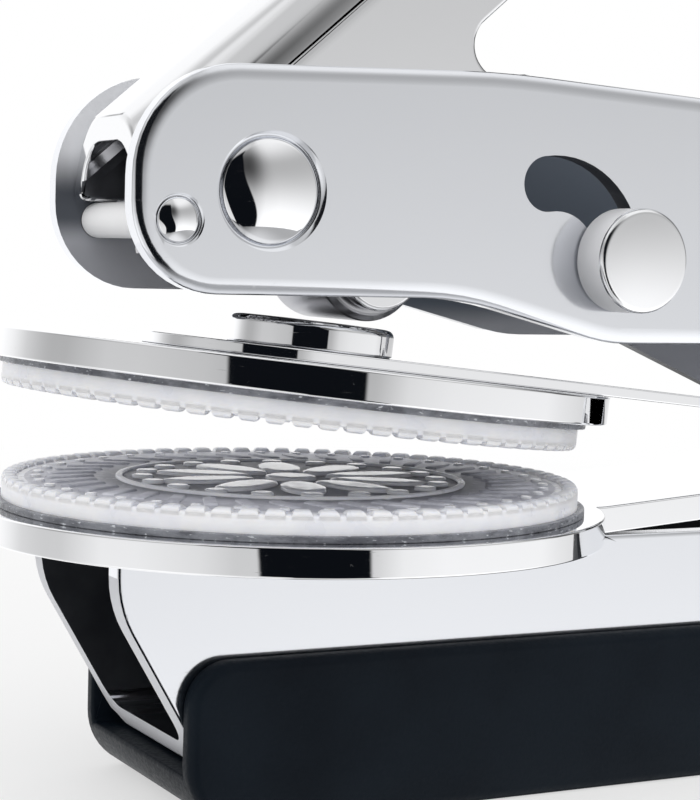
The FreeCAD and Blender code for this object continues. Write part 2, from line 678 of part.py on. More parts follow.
def tangent_angle(x, z, side):
    """Angle on the coil from which a straight run reaches (x, z)."""
    reach = math.hypot(value(x), value(z))
    return math.atan2(value(z), value(x)) + side * math.acos(value("coil_radius") / reach)


def make_spring():
    """Coil with its front leg under the stop pin; the end turn and the rear leg move with the lever."""
    coil = new_body("ReturnSpring")
    path = new_sketch(coil, "XZ", "coil_side")
    leg_angle = tangent_angle("leg_x", "leg_z", 1) % (2 * math.pi)
    draw_arc_and_tangent(path, leg_angle, 1.5 * math.pi, "leg_x", "leg_z", tip_first=True)
    wire = new_sketch(coil, "YZ")
    draw_wire(wire, "-coil_side", "-coil_radius")
    wire_along(coil, wire, path)
    helix = coil.newObject("PartDesign::AdditiveHelix", "ReturnSpring_helix")
    helix.Profile = wire
    helix.ReferenceAxis = (origin_feature(coil, "Y_Axis"), [""])
    helix.Mode = "pitch-turns-angle"
    helix.LeftHanded = True
    bind(helix, Pitch="coil_pitch", Turns="coil_turns")
    node("return_spring", set_base(coil, "pivot_x", "0", "pivot_z"))

    arm = new_body("SpringArm")
    arm_path = new_sketch(arm, "XZ", "-arm_y")
    arm_angle = tangent_angle("arm_reach", "arm_up", -1) % (2 * math.pi)
    draw_arc_and_tangent(arm_path, 0, arm_angle, "arm_reach", "arm_up", tip_first=False)
    arm_wire = new_sketch(arm, "XY")
    draw_wire(arm_wire, "coil_radius", "arm_y")
    wire_along(arm, arm_wire, arm_path)
    node("spring_arm", on_lever(arm))


# ----------------------------------------------------------------------------------------------------
# clip with the dies


def clip_rivets(name, play="0"):
    """Two rivets square to the clip's sloping seat; with play, the holes they need."""
    if play == "0":
        high, low = "leaf_thick", "-arm_square"
        corners = [
            ("0", f"{low} - clip_rivet_high"),
            *reversed(rim("clip_rivet_head", f"{low} - clip_rivet_high", "clip_rivet_bevel", "+")),
            ("clip_rivet_head", low),
            ("clip_rivet_radius", low),
            ("clip_rivet_radius", high),
            ("clip_rivet_head", high),
            *rim("clip_rivet_head", f"{high} + clip_rivet_high", "clip_rivet_bevel"),
            ("0", f"{high} + clip_rivet_high"),
        ]
    else:
        corners = [
            ("0", "-2 * plate_thick"),
            (f"clip_rivet_radius + {play}", "-2 * plate_thick"),
            (f"clip_rivet_radius + {play}", "2 * plate_thick"),
            ("0", "2 * plate_thick"),
        ]
    body = in_row(turned_body(name, corners), "clip_rivet_pitch")
    tilt_about_y(body, "clip_tilt")
    return set_base(body, "clip_rivet_x", "0", "rivet_seat_z")


def beaded_die(name, back, tip, inward="-"):
    """Round die: a thin band and a rim of beads stand on its face; inward is the sign from tip to back."""
    outward = "+" if inward == "-" else "-"
    face = f"({tip} {inward} bead_high)"
    band = f"({face} {outward} band_high)"
    body = turned_body(name, [
        ("0", back),
        ("die_radius", back),
        ("die_radius", tip),
        ("die_radius - bead_ring", tip),
        ("die_radius - bead_ring", face),
        ("band_radius", face),
        ("band_radius", band),
        ("band_radius - band_wide", band),
        ("band_radius - band_wide", face),
        ("0", face),
    ])
    gap = new_sketch(body, "YZ", "die_radius + bead_ring")
    draw_outline(gap, [
        ("-bead_gap_low / 2", face),
        ("bead_gap_low / 2", face),
        ("bead_gap / 2", tip),
        ("-bead_gap / 2", tip),
    ])
    cut = body.newObject("PartDesign::Pocket", f"{name}_gap")
    cut.Profile = gap
    bind(cut, Length="3 * bead_ring")
    ring = body.newObject("PartDesign::PolarPattern", f"{name}_gaps")
    ring.Originals = [cut]
    ring.Axis = (origin_feature(body, "Z_Axis"), [""])
    ring.Angle = 360
    body.Tip = ring
    bind(ring, Occurrences="bead_count")
    return body


def make_lower_clip():
    disc = disc_body("LowerDisc", "plate_radius", "plate_thick", "plate_bottom")
    arm = plate_body("LowerArm", "XZ", [
        ("boss_radius", "plate_bottom"),
        ("boss_radius", "plate_top"),
        ("arm_start", "plate_top", "arm_start_round"),
        ("arm_knee", "plate_top + arm_rise", "arm_knee_round"),
        ("seat_front", "seat_front_z", "seat_round"),
        ("clip_back", "clip_back_z"),
        ("clip_back", "clip_back_z - plate_thick"),
        ("seat_front", "seat_front_z - plate_thick", "seat_round"),
        ("arm_knee", "plate_bottom + arm_rise", "arm_knee_round"),
        ("arm_start", "plate_bottom", "arm_start_round"),
    ], "arm_width", both_ways=True)
    blank = joined("LowerPlateBlank", [disc, arm])
    node("lower_plate", cut_away("LowerPlate", blank, [clip_rivets("ArmRivetHoles", "press_play")]))
    node("lower_pad", disc_body("LowerPad", "pad_radius", "pad_thick", "plate_top"))
    node("lower_die", beaded_die("LowerDie", "low_die_bottom", "low_die_top"))
    node("locating_boss", disc_body("LocatingBoss", "boss_radius", "boss_high", "plate_bottom - boss_high"))
    node("clip_rivets", clip_rivets("ClipRivets"))
    root = plate_body("LeafRoot", "XY", [
        ("0", "-leaf_width / 2"),
        ("(clip_back - bend_x) / cos(clip_tilt)", "-leaf_width / 2", "clip_back_round"),
        ("(clip_back - bend_x) / cos(clip_tilt)", "leaf_width / 2", "clip_back_round"),
        ("0", "leaf_width / 2"),
    ], "leaf_thick", lift="-leaf_thick / 2")
    tilt_about_y(root, "clip_tilt")
    set_base(root, "bend_x", "0", "leaf_mid")
    node("leaf_root", cut_away("RivetedRoot", root, [clip_rivets("RootRivetHoles", "press_play")]))


def make_upper_clip():
    """Upper half, drawn shut and then opened about the leaf's bending line."""
    leaf_end = "leaf_width / 2 * round_share"
    leaf = plate_body("SpringLeaf", "XY", [
        ("-leaf_front", "-leaf_width / 2", leaf_end),
        ("bend_x - leaf_slit", "-leaf_width / 2"),
        ("bend_x - leaf_slit", "leaf_width / 2"),
        ("-leaf_front", "leaf_width / 2", leaf_end),
    ], "leaf_thick", lift="disc_top")
    disc = disc_body("UpperPlate", "plate_radius", "plate_thick", "disc_bottom")
    pad = disc_body("UpperPad", "pad_radius", "pad_thick", "up_die_top")
    die = beaded_die("UpperDie", "up_die_top", "up_die_bottom", inward="+")
    node("spring_leaf", on_open_clip(leaf))
    node("upper_plate", on_open_clip(disc))
    node("upper_pad", on_open_clip(pad))
    node("upper_die", on_open_clip(die))
    button = turned_body("PressButton", [
        ("0", "leaf_top"),
        ("button_radius", "leaf_top"),
        *rim("button_radius", "button_top", "button_bevel"),
        ("0", "button_top"),
    ])
    node("press_button", on_open_clip(button, "button_x"))


make_frame()
make_boot()
sunk_pin("pivot_pin", "pivot")
sunk_pin("stop_pin", "stop")
sunk_pin("tie_rivet", "tie")
make_lever()
make_roller()
make_spring()
make_lock()
make_lower_clip()
make_upper_clip()

doc.recompute()
for thing in doc.Objects:
    if {"Invalid", "Error"} & set(thing.State):
        raise RuntimeError(f"{thing.Name} ({thing.Label}) failed: {thing.State}")
os.makedirs("parts", exist_ok=True)
for label, thing in NODES.items():
    if thing.Shape.isNull() or not thing.Shape.isValid() or thing.Shape.Volume <= 0:
        raise RuntimeError(f"{label} has no valid solid")
    print(f"{label:20s} {len(thing.Shape.Solids)} solid(s) {thing.Shape.Volume:9.1f} mm3")
    thing.Shape.exportStep(f"parts/{label}.step")
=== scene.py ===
"""Looks of the desk seal embosser: chrome press frame, raised lever, open die clip and rubber boot."""
import json
import math
from collections import namedtuple
import bmesh
import bpy
from mathutils import Matrix, Vector


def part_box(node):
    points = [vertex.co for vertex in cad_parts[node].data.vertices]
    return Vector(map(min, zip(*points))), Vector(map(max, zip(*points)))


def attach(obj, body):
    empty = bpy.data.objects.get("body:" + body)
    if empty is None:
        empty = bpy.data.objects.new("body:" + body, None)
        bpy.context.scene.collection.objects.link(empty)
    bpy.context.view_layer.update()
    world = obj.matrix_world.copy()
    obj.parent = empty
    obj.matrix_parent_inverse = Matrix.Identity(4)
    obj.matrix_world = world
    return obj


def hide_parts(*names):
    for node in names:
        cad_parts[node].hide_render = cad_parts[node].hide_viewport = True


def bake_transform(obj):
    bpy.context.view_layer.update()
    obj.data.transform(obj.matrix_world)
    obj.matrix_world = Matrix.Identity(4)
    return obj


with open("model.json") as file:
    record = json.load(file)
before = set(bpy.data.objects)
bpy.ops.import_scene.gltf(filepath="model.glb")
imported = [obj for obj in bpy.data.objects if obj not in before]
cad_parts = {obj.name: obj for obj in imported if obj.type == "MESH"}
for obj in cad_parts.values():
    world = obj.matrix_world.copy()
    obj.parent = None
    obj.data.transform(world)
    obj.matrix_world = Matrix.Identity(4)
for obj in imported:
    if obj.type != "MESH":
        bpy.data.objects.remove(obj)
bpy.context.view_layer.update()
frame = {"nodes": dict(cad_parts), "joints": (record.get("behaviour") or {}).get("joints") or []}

MM = 0.001
# lengths that differ by less count as equal, in millimetres
NEAR = 0.01


# ---------------------------------------------------------------------------------------------------------
# places read from the frame

JOINTS = {joint["name"]: joint for joint in frame["joints"]}
PIVOT = Vector(JOINTS["lever_press"]["pos_m"])
BEND = Vector(JOINTS["clip_close"]["pos_m"])
CLIP_TILT = math.radians(JOINTS["clip_close"]["range_deg"][1])
LEVER_REST = math.radians(41.0)
# backs of the dies with the clip closed
LOWER_DIE_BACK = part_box("lower_die")[0][2]
UPPER_DIE_BACK = 24.2 * MM
SLOT_CENTRE = Vector(JOINTS["lock_turn"]["pos_m"])
# middle of the painted shade on the lever's hub between the cheeks, and where the painted shade starts and
# stops fading out
LEVER_SHADE_AT = (SLOT_CENTRE.x + 2.0 * MM, SLOT_CENTRE.z + 3.0 * MM)
LEVER_SHADE_FADES = (7.5 * MM, 10.5 * MM)

# closed clip to open clip, and lever coordinates to the raised lever
OPEN_CLIP = Matrix.Translation(BEND) @ Matrix.Rotation(CLIP_TILT, 4, "Y") @ Matrix.Translation(-BEND)
ON_LEVER = Matrix.Translation(PIVOT) @ Matrix.Rotation(-LEVER_REST, 4, "Y")


# ---------------------------------------------------------------------------------------------------------
# shader helpers

class Shader:
    """Node tree of a material or a group, with short calls to add and join nodes."""

    def __init__(self, tree):
        self.tree = tree

    def add(self, kind, inputs=None, **settings):
        """A node with its settings and inputs; an input is a value or another node's output."""
        node = self.tree.nodes.new(kind)
        for name, setting in settings.items():
            setattr(node, name, setting)
        for name, source in (inputs or {}).items():
            self.put(node, name, source)
        return node

    def put(self, node, name, source):
        if isinstance(source, bpy.types.NodeSocket):
            self.tree.links.new(source, node.inputs[name])
        else:
            node.inputs[name].default_value = source

    def maths(self, operation, first, second=0.0, third=0.0):
        node = self.add("ShaderNodeMath", {0: first, 1: second, 2: third}, operation=operation)
        return node.outputs[0]

    def product(self, first, *others):
        """All the values multiplied."""
        for other in others:
            first = self.maths("MULTIPLY", first, other)
        return first

    def length(self, vector):
        return self.add("ShaderNodeVectorMath", {0: vector}, operation="LENGTH").outputs["Value"]

    def between(self, source, low, high, to_low=0.0, to_high=1.0):
        """Smooth step of a value from low..high to to_low..to_high."""
        inputs = {"Value": source, "From Min": low, "From Max": high, "To Min": to_low, "To Max": to_high}
        return self.add("ShaderNodeMapRange", inputs, interpolation_type="SMOOTHSTEP").outputs["Result"]

    def mix(self, factor, first, second):
        node = self.add("ShaderNodeMix", data_type="RGBA")
        self.put(node, 0, factor)
        self.put(node, 6, first)
        self.put(node, 7, second)
        return node.outputs[2]

    def noise(self, place, scale, detail=2.0, roughness=0.5):
        inputs = {"Vector": place, "Scale": scale, "Detail": detail, "Roughness": roughness}
        return self.add("ShaderNodeTexNoise", inputs).outputs["Fac"]

    def place(self):
        return self.add("ShaderNodeTexCoord").outputs["Object"]

    def bump(self, height, distance):
        return self.add("ShaderNodeBump", {"Height": height, "Distance": distance}).outputs["Normal"]


def new_material(name, base_color, roughness, **constants):
    """Principled material with its constant values set on its own sockets."""
    material = bpy.data.materials.new(name)
    material.use_nodes = True
    material.diffuse_color = (*base_color, 1)
    principled = material.node_tree.nodes["Principled BSDF"]
    principled.inputs["Base Color"].default_value = (*base_color, 1)
    principled.inputs["Roughness"].default_value = roughness
    for socket, number in constants.items():
        principled.inputs[socket.replace("_", " ").title()].default_value = number
    return material, Shader(material.node_tree), principled


def new_group(name, inputs, outputs):
    """Shader node group; inputs are (name, kind, start value), outputs are (name, kind)."""
    tree = bpy.data.node_groups.new(name, "ShaderNodeTree")
    for socket, kind, start in inputs:
        made = tree.interface.new_socket(socket, in_out="INPUT", socket_type=kind)
        if start is not None:
            made.default_value = start
    for socket, kind in outputs:
        tree.interface.new_socket(socket, in_out="OUTPUT", socket_type=kind)
    shader = Shader(tree)
    return tree, shader, shader.add("NodeGroupInput"), shader.add("NodeGroupOutput")


def make_plating_group():
    """Faint waviness, hairline scratches and dust of handled plating, as masks."""
    tree, shader, given, result = new_group(
        "plating_wear",
        [("Place", "NodeSocketVector", None), ("Scratch Scale", "NodeSocketFloat", 900.0)],
        [("Wave", "NodeSocketFloat"), ("Scratch", "NodeSocketFloat"), ("Dust", "NodeSocketFloat")])
    place = given.outputs["Place"]
    shader.put(result, "Wave", shader.noise(place, 220.0, 3.0, 0.55))
    stretch = shader.add("ShaderNodeMapping", {"Vector": place, "Scale": (1.0, 1.0, 14.0)})
    stretch.inputs["Rotation"].default_value = (0.4, 0.9, 0.2)
    hair_inputs = {"Vector": stretch.outputs[0], "Scale": given.outputs["Scratch Scale"], "Detail": 1.0}
    hair = shader.add("ShaderNodeTexNoise", hair_inputs).outputs["Fac"]
    shader.put(result, "Scratch", shader.between(hair, 0.70, 0.78))
    speck = shader.noise(place, 2600.0, 1.0)
    shader.put(result, "Dust", shader.between(speck, 0.74, 0.80))
    return tree


PLATING = make_plating_group()


def add_plating(shader):
    """The wear group as a node of a material."""
    node = shader.add("ShaderNodeGroup", node_tree=PLATING)
    shader.put(node, "Place", shader.place())
    return node


def plated_material(name, color, roughness, wave_depth):
    """Plated metal: the wear group moves its roughness and a shallow bump."""
    material, shader, principled = new_material(name, color, roughness, metallic=1.0)
    wear = add_plating(shader)
    lift = shader.maths("MULTIPLY", wear.outputs["Scratch"], 0.12)
    dusty = shader.maths("MULTIPLY_ADD", wear.outputs["Dust"], 0.12, lift)
    shader.put(principled, "Roughness", shader.maths("ADD", dusty, roughness))
    shader.put(principled, "Normal", shader.bump(wear.outputs["Wave"], wave_depth))
    return material


def raw_plating_and_shade_material(name, dark, light, roughness, metallic, bands=(), hub=None):
    """Unpolished plating inside a pressing: grainy, with painted light and shade as other tones above some
    heights and at the hub.

    A band is (low, high, color): the color, painted light or shade, comes in between the two heights. The hub
    is two such intervals, along and up, and its color.
    """
    material, shader, principled = new_material(name, light, roughness, metallic=metallic)
    place = shader.place()
    cloud = shader.noise(place, 160.0, 4.0, 0.6)
    grain = shader.noise(place, 2600.0, 2.0, 0.5)
    tone = shader.mix(shader.between(cloud, 0.3, 0.7), (*dark, 1), (*light, 1))
    split = shader.add("ShaderNodeSeparateXYZ", {"Vector": place})
    for low, high, color in bands:
        tone = shader.mix(shader.between(split.outputs["Z"], low * MM, high * MM), tone, (*color, 1))
    if hub:
        (fore, aft), (low, high), color = hub
        inside = shader.product(shader.between(split.outputs["X"], fore * MM, aft * MM),
                                shader.between(split.outputs["Z"], low * MM, high * MM))
        tone = shader.mix(inside, tone, (*color, 1))
    shader.put(principled, "Base Color", tone)
    shader.put(principled, "Roughness", shader.between(grain, 0.0, 1.0, roughness - 0.04, roughness + 0.08))
    shader.put(principled, "Normal", shader.bump(grain, 0.000004))
    return material


def satin_material(name, color, roughness, metallic):
    """Satin nickel, sheared edge, or a bare pin made near-white as painted sheen: soft, with a slight change
    of tone.
    """
    material, shader, principled = new_material(name, color, roughness, metallic=metallic)
    principled.inputs["Specular IOR Level"].default_value = 0.12
    wear = add_plating(shader)
    dark = [0.93 * channel for channel in color]
    shader.put(principled, "Base Color", shader.mix(wear.outputs["Wave"], (*dark, 1), (*color, 1)))
    lift = shader.maths("MULTIPLY_ADD", wear.outputs["Scratch"], 0.08, roughness)
    shader.put(principled, "Roughness", lift)
    shader.put(principled, "Normal", shader.bump(wear.outputs["Wave"], 0.000004))
    return material


def lever_material():
    """Lever plating: bright on the arm, with painted shade round the hub between the cheeks, dark and dull.
    """
    bright, polish = (0.86, 0.865, 0.88), 0.06
    material, shader, principled = new_material("lever_chrome", bright, polish, metallic=1.0)
    wear = add_plating(shader)
    split = shader.add("ShaderNodeSeparateXYZ", {"Vector": shader.place()})
    along = shader.maths("SUBTRACT", split.outputs["X"], LEVER_SHADE_AT[0])
    above = shader.maths("SUBTRACT", split.outputs["Z"], LEVER_SHADE_AT[1])
    reach = shader.length(shader.add("ShaderNodeCombineXYZ", {"X": along, "Y": above}).outputs[0])
    # painted shade round the hub, where the lever lies dark between the cheeks: darker, duller and less
    # metallic near its middle
    lever_shade = shader.between(reach, *LEVER_SHADE_FADES, 1.0, 0.0)
    shade_mottle = shader.noise(shader.place(), 420.0, 3.0, 0.6)
    shade_tone = shader.mix(shade_mottle, (0.040, 0.050, 0.064, 1), (0.065, 0.077, 0.095, 1))
    shader.put(principled, "Base Color", shader.mix(lever_shade, (*bright, 1), shade_tone))
    lift = shader.maths("MULTIPLY_ADD", wear.outputs["Scratch"], 0.03, polish)
    shader.put(principled, "Roughness", shader.maths("MULTIPLY_ADD", lever_shade, 0.45, lift))
    shader.put(principled, "Metallic", shader.maths("MULTIPLY_ADD", lever_shade, -0.6, 1.0))
    shader.put(principled, "Normal", shader.bump(wear.outputs["Wave"], 0.000004))
    return material


def rubber_material():
    """Matt moulded rubber with a fine grain."""
    material, shader, principled = new_material("boot_rubber", (0.0055, 0.009, 0.014), 0.5)
    principled.inputs["Specular IOR Level"].default_value = 0.1
    place = shader.place()
    grain = shader.noise(place, 3200.0, 3.0, 0.6)
    cloud = shader.noise(place, 90.0, 3.0)
    tone = shader.mix(shader.between(cloud, 0.3, 0.7), (0.003, 0.006, 0.0105, 1), (0.006, 0.0105, 0.0165, 1))
    shader.put(principled, "Base Color", tone)
    shader.put(principled, "Roughness", shader.between(grain, 0.2, 0.8, 0.42, 0.6))
    shader.put(principled, "Normal", shader.bump(grain, 0.00003))
    return material


def die_material(name, roughness):
    """Milky engraving plastic."""
    material, shader, principled = new_material(name, (0.86, 0.88, 0.9), roughness, subsurface_weight=0.4)
    principled.inputs["Subsurface Radius"].default_value = (0.0012, 0.0013, 0.0015)
    principled.inputs["Subsurface Scale"].default_value = 0.1
    place = shader.place()
    cloud = shader.noise(place, 400.0, 3.0)
    tone = shader.mix(shader.between(cloud, 0.3, 0.7), (0.84, 0.85, 0.90, 1), (0.92, 0.925, 0.96, 1))
    shader.put(principled, "Base Color", tone)
    shader.put(principled, "Roughness", shader.between(cloud, 0.3, 0.7, roughness - 0.04, roughness + 0.08))
    shader.put(principled, "Normal", shader.bump(shader.noise(place, 2500.0, 2.0), 0.00001 * roughness / 0.3))
    return material


def pad_material():
    """Glossy adhesive pad: dark grey with small pale flecks painted in as glints."""
    material, shader, principled = new_material("pad_grey", (0.2, 0.21, 0.24), 0.3)
    place = shader.place()
    stretch = shader.add("ShaderNodeMapping", {"Vector": place, "Scale": (1.0, 1.0, 2.5)}).outputs[0]
    cloud = shader.noise(stretch, 380.0, 3.0, 0.6)
    fleck = shader.noise(stretch, 2100.0, 2.0)
    tone = shader.mix(shader.between(cloud, 0.35, 0.65), (0.11, 0.115, 0.135, 1), (0.26, 0.27, 0.30, 1))
    # painted glints: pale flecks put into the colour
    painted_glint = shader.mix(shader.between(fleck, 0.62, 0.72), tone, (0.62, 0.64, 0.68, 1))
    shader.put(principled, "Base Color", painted_glint)
    shader.put(principled, "Roughness", shader.between(fleck, 0.3, 0.7, 0.22, 0.5))
    shader.put(principled, "Normal", shader.bump(fleck, 0.00003))
    return material


def grey_ground_material():
    """Engraved ground of the dies: darker grey, darkest in the middle, and lightened towards the rim with
    painted light against the upper die's shade.
    """
    material, shader, principled = new_material("die_ground", (0.16, 0.165, 0.19), 0.42)
    place = shader.place()
    cloud = shader.noise(place, 260.0, 4.0, 0.65)
    fleck = shader.noise(place, 1500.0, 2.0)
    patch = shader.between(cloud, 0.35, 0.68)
    # darker in the middle; the paler ring towards the rim is painted light
    centre = shader.mix(patch, (0.16, 0.165, 0.195, 1), (0.38, 0.385, 0.42, 1))
    ring = shader.mix(patch, (0.50, 0.505, 0.56, 1), (0.80, 0.805, 0.86, 1))
    flat = shader.add("ShaderNodeVectorMath", {0: place}, operation="MULTIPLY")
    flat.inputs[1].default_value = (1.0, 1.0, 0.0)
    reach = shader.length(flat.outputs[0])
    tone = shader.mix(shader.between(reach, 12.5 * MM, 15.0 * MM), centre, ring)
    speckled = shader.mix(shader.between(fleck, 0.6, 0.75), tone, (0.7, 0.71, 0.74, 1))
    shader.put(principled, "Base Color", speckled)
    shader.put(principled, "Roughness", shader.between(cloud, 0.3, 0.7, 0.35, 0.55))
    shader.put(principled, "Normal", shader.bump(fleck, 0.00004))
    return material


CHROME = plated_material("polished_chrome", (0.90, 0.905, 0.92), 0.03, 0.000002)
FRAME_CHROME = plated_material("frame_chrome", (0.80, 0.815, 0.85), 0.12, 0.000004)
CUT_EDGE = satin_material("sheared_edge", (0.74, 0.75, 0.78), 0.55, 0.1)
LEVER_CHROME = lever_material()
BUTTON_FLANK = satin_material("satin_nickel", (0.93, 0.935, 0.96), 0.45, 0.0)
# painted sheen: the stop pin's steel shank is near-white and not metallic, so that it shows bright between
# the cheeks
PIN_SHANK_SHEEN = satin_material("pin_shank_sheen", (0.97, 0.972, 0.98), 0.4, 0.0)
BUTTON_FACE = plated_material("button_face", (0.90, 0.905, 0.92), 0.13, 0.000002)
# painted light and shade inside the frame: very dark low down, paler above, a dark strip, a bright top and a
# darker patch at the hub
FRAME_INSIDE_LIT_AND_SHADED = raw_plating_and_shade_material(
    "frame_inside_lit_and_shaded", (0.02, 0.022, 0.028), (0.04, 0.043, 0.05), 0.42, 0.4,
    bands=[(22.0, 27.0, (0.52, 0.53, 0.57)), (38.5, 40.5, (0.1, 0.11, 0.13)),
           (42.0, 45.5, (0.9, 0.91, 0.94))],
    hub=((6, 11), (33, 35), (0.18, 0.21, 0.255)))
# painted shade: the lever's channel inside, its underside and the frame's slot walls are made dark where they
# lie in shade
LEVER_INSIDE_SHADED = raw_plating_and_shade_material("lever_inside_shaded", (0.05, 0.055, 0.065), (0.16, 0.165, 0.18), 0.4, 1.0)
STEEL = plated_material("plain_steel", (0.52, 0.52, 0.54), 0.28, 0.000006)
RUBBER = rubber_material()
DIE = die_material("die_plastic", 0.3)
RELIEF = die_material("die_relief", 0.08)
PAD = pad_material()
GROUND_GREY = grey_ground_material()

NODE_FINISH = {
    "press_frame": FRAME_CHROME, "lever_channel": LEVER_CHROME,
    "base_boot": RUBBER, "lower_die": DIE, "upper_die": DIE, "lower_pad": PAD, "upper_pad": PAD,
    "return_spring": STEEL, "spring_arm": STEEL, "pivot_bush": STEEL, "press_roller": STEEL,
    "roller_pin": STEEL, "lock_pin": STEEL, "base_screws": STEEL, "locating_boss": STEEL,
    "clip_rivets": STEEL,
}


def finish_nodes():
    """Give every CAD node its material."""
    for name, thing in frame["nodes"].items():
        thing.data.materials.clear()
        thing.data.materials.append(NODE_FINISH.get(name, CHROME))


# ---------------------------------------------------------------------------------------------------------
# studio

# brightness of the tent wall by direction: degrees from the front towards the right, and level
TENT_WALL = [
    (-180, 0.92), (-152, 0.88), (-134, 0.66), (-112, 0.68), (-94, 0.92), (-80, 0.92), (-56, 0.80),
    (-44, 0.66), (2, 0.66), (14, 0.93), (30, 1.0), (74, 1.0), (84, 0.9), (110, 0.72), (132, 0.78),
    (150, 0.92), (180, 0.92),
]
TENT_GLOW = (0.85, 0.85, 0.85, 1)
# the dark gap in the wall, in degrees from the front: its sides just below the level of the object, how
# soft they are, how far each leans to the left from the lowest to the highest level, and its tone
GAP_LEFT, GAP_RIGHT, GAP_SOFT = -36.0, 2.5, 0.8
GAP_LEFT_LEAN, GAP_RIGHT_LEAN = (-12.1, 23.9), (-5.4, 10.6)
GAP_TONE = (0.004, 0.005, 0.007, 1)
# the shade on the wall at the right, in degrees from the front
SHADE_FROM, SHADE_TO = 80.0, 140.0
LAMP_AIM = Vector((0, 0, 0.03))
# the floor keeps its shadow near this place, and fades to white between the two distances
FLOOR_MIDDLE = (0.05, 0.0, 0.0)
FLOOR_FADES = (0.08, 0.24)
# camera: place in millimetres, direction and roll in degrees, focal length
CAMERA_AT = Vector((-63.76, -131.216, 38.336))
CAMERA_AZIMUTH, CAMERA_DROP, CAMERA_ROLL = 27.527, 4.06, 1.586
CAMERA_LENS = 91.95


def tent_wall(shader, around, height):
    """Brightness of the wall by direction, dimmer just above the table at the front and the sides."""
    ramp = shader.add("ShaderNodeValToRGB", {"Fac": shader.maths("MULTIPLY_ADD", around, 1 / 360, 0.5)})
    stops = ramp.color_ramp.elements
    while len(stops) < len(TENT_WALL):
        stops.new(0.5)
    for stop, (angle, level) in zip(stops, TENT_WALL):
        stop.position = angle / 360 + 0.5
        stop.color = (level, level, level, 1)
    front = shader.between(shader.maths("ABSOLUTE", around), 118.0, 146.0, 1.0, 0.0)
    rise = shader.product(shader.between(height, -0.5, 0.4), shader.between(height, 0.42, 0.75, 1.0, 0.35))
    dim = shader.maths("MULTIPLY_ADD", shader.product(front, rise), -0.76, 1.25)
    return shader.product(ramp.outputs["Color"], dim)


def tent_shade(shader, around, height):
    """Share of the wall's light that is missing: beside the gap, at the right, and low at the right."""
    beside = shader.product(
        shader.between(around, GAP_RIGHT - 6.0, GAP_RIGHT + 22.0, 0.8, 0.0),
        shader.between(around, GAP_LEFT - 1.0, GAP_LEFT + 1.0),
        shader.between(height, -0.12, 0.42), shader.between(height, 0.5, 0.85, 1.0, 0.0))
    right = shader.product(
        shader.between(around, SHADE_FROM - 4, SHADE_FROM + 4),
        shader.between(around, SHADE_TO - 10, SHADE_TO, 0.75, 0.0),
        shader.between(height, -0.1, 0.0), shader.between(height, 0.5, 0.8, 1.0, 0.0))
    under = shader.product(
        shader.between(around, 88.0, 116.0, 0.0, 0.88), shader.between(around, 150.0, 160.0, 1.0, 0.0),
        shader.between(height, -0.25, -0.19, 1.0, 0.0))
    return shader.maths("MAXIMUM", shader.maths("MAXIMUM", beside, right), under)


def tent_gap(shader, around, height):
    """Mask of the tall dark opening; its two sides lean to the left as they rise."""
    left = shader.maths("ADD", around, shader.between(height, -0.5, 0.4, *GAP_LEFT_LEAN))
    right = shader.maths("ADD", around, shader.between(height, -0.5, 0.4, *GAP_RIGHT_LEAN))
    inside = shader.product(shader.between(left, GAP_LEFT - GAP_SOFT, GAP_LEFT + GAP_SOFT),
                            shader.between(right, GAP_RIGHT - GAP_SOFT, GAP_RIGHT + GAP_SOFT, 1.0, 0.0))
    tall = shader.product(shader.between(height, -0.8, -0.6), shader.between(height, 0.66, 0.76, 1.0, 0.0))
    return shader.product(inside, tall)


def make_world():
    """White tent: an even glow lights the object, and reflections see its uneven wall and the gap."""
    world = bpy.data.worlds.new("tent")
    bpy.context.scene.world = world
    world.use_nodes = True
    shader = Shader(world.node_tree)
    ray = shader.add("ShaderNodeTexCoord").outputs["Generated"]
    split = shader.add("ShaderNodeSeparateXYZ", {"Vector": ray})
    height = split.outputs["Z"]
    forward = shader.maths("MULTIPLY", split.outputs["Y"], -1.0)
    around = shader.maths("DEGREES", shader.maths("ARCTAN2", split.outputs["X"], forward))
    light = shader.maths("SUBTRACT", 1.0, tent_shade(shader, around, height))
    wall = shader.product(tent_wall(shader, around, height), light)
    seen = shader.mix(tent_gap(shader, around, height), wall, GAP_TONE)
    path = shader.add("ShaderNodeLightPath")
    glossy = shader.mix(path.outputs["Is Glossy Ray"], TENT_GLOW, seen)
    background = world.node_tree.nodes["Background"]
    shader.put(background, "Color", shader.mix(path.outputs["Is Camera Ray"], glossy, (1, 1, 1, 1)))


def make_floor():
    """Pale sweep that the boot stands on: it keeps the shadow and turns white away from the object."""
    mesh = bmesh.new()
    bmesh.ops.create_grid(mesh, x_segments=1, y_segments=1, size=1.6)
    floor = keep_mesh("floor", mesh)
    material, shader, principled = new_material("floor_paper", (0.9, 0.9, 0.9), 0.9)
    path = shader.add("ShaderNodeLightPath")
    glow = shader.add("ShaderNodeEmission", {"Color": (1, 1, 1, 1)})
    away = shader.add("ShaderNodeVectorMath", {0: shader.place()}, operation="SUBTRACT")
    away.inputs[1].default_value = FLOOR_MIDDLE
    far = shader.between(shader.length(away.outputs[0]), *FLOOR_FADES, 0.55, 1.0)
    keep = shader.product(path.outputs["Is Camera Ray"], far)
    mixed = shader.add("ShaderNodeMixShader", {0: keep, 1: principled.outputs[0], 2: glow.outputs[0]})
    shader.put(material.node_tree.nodes["Material Output"], "Surface", mixed.outputs[0])
    floor.data.materials.append(material)
    floor.visible_glossy = False


def make_lamp(name, place, size, power):
    """Square lamp that looks at the dies."""
    lamp_data = bpy.data.lights.new(name, "AREA")
    lamp_data.size = size
    lamp_data.energy = power
    lamp = bpy.data.objects.new(name, lamp_data)
    bpy.context.collection.objects.link(lamp)
    lamp.location = place
    lamp.rotation_euler = (LAMP_AIM - Vector(place)).to_track_quat("-Z", "Y").to_euler()
    lamp.visible_glossy = False


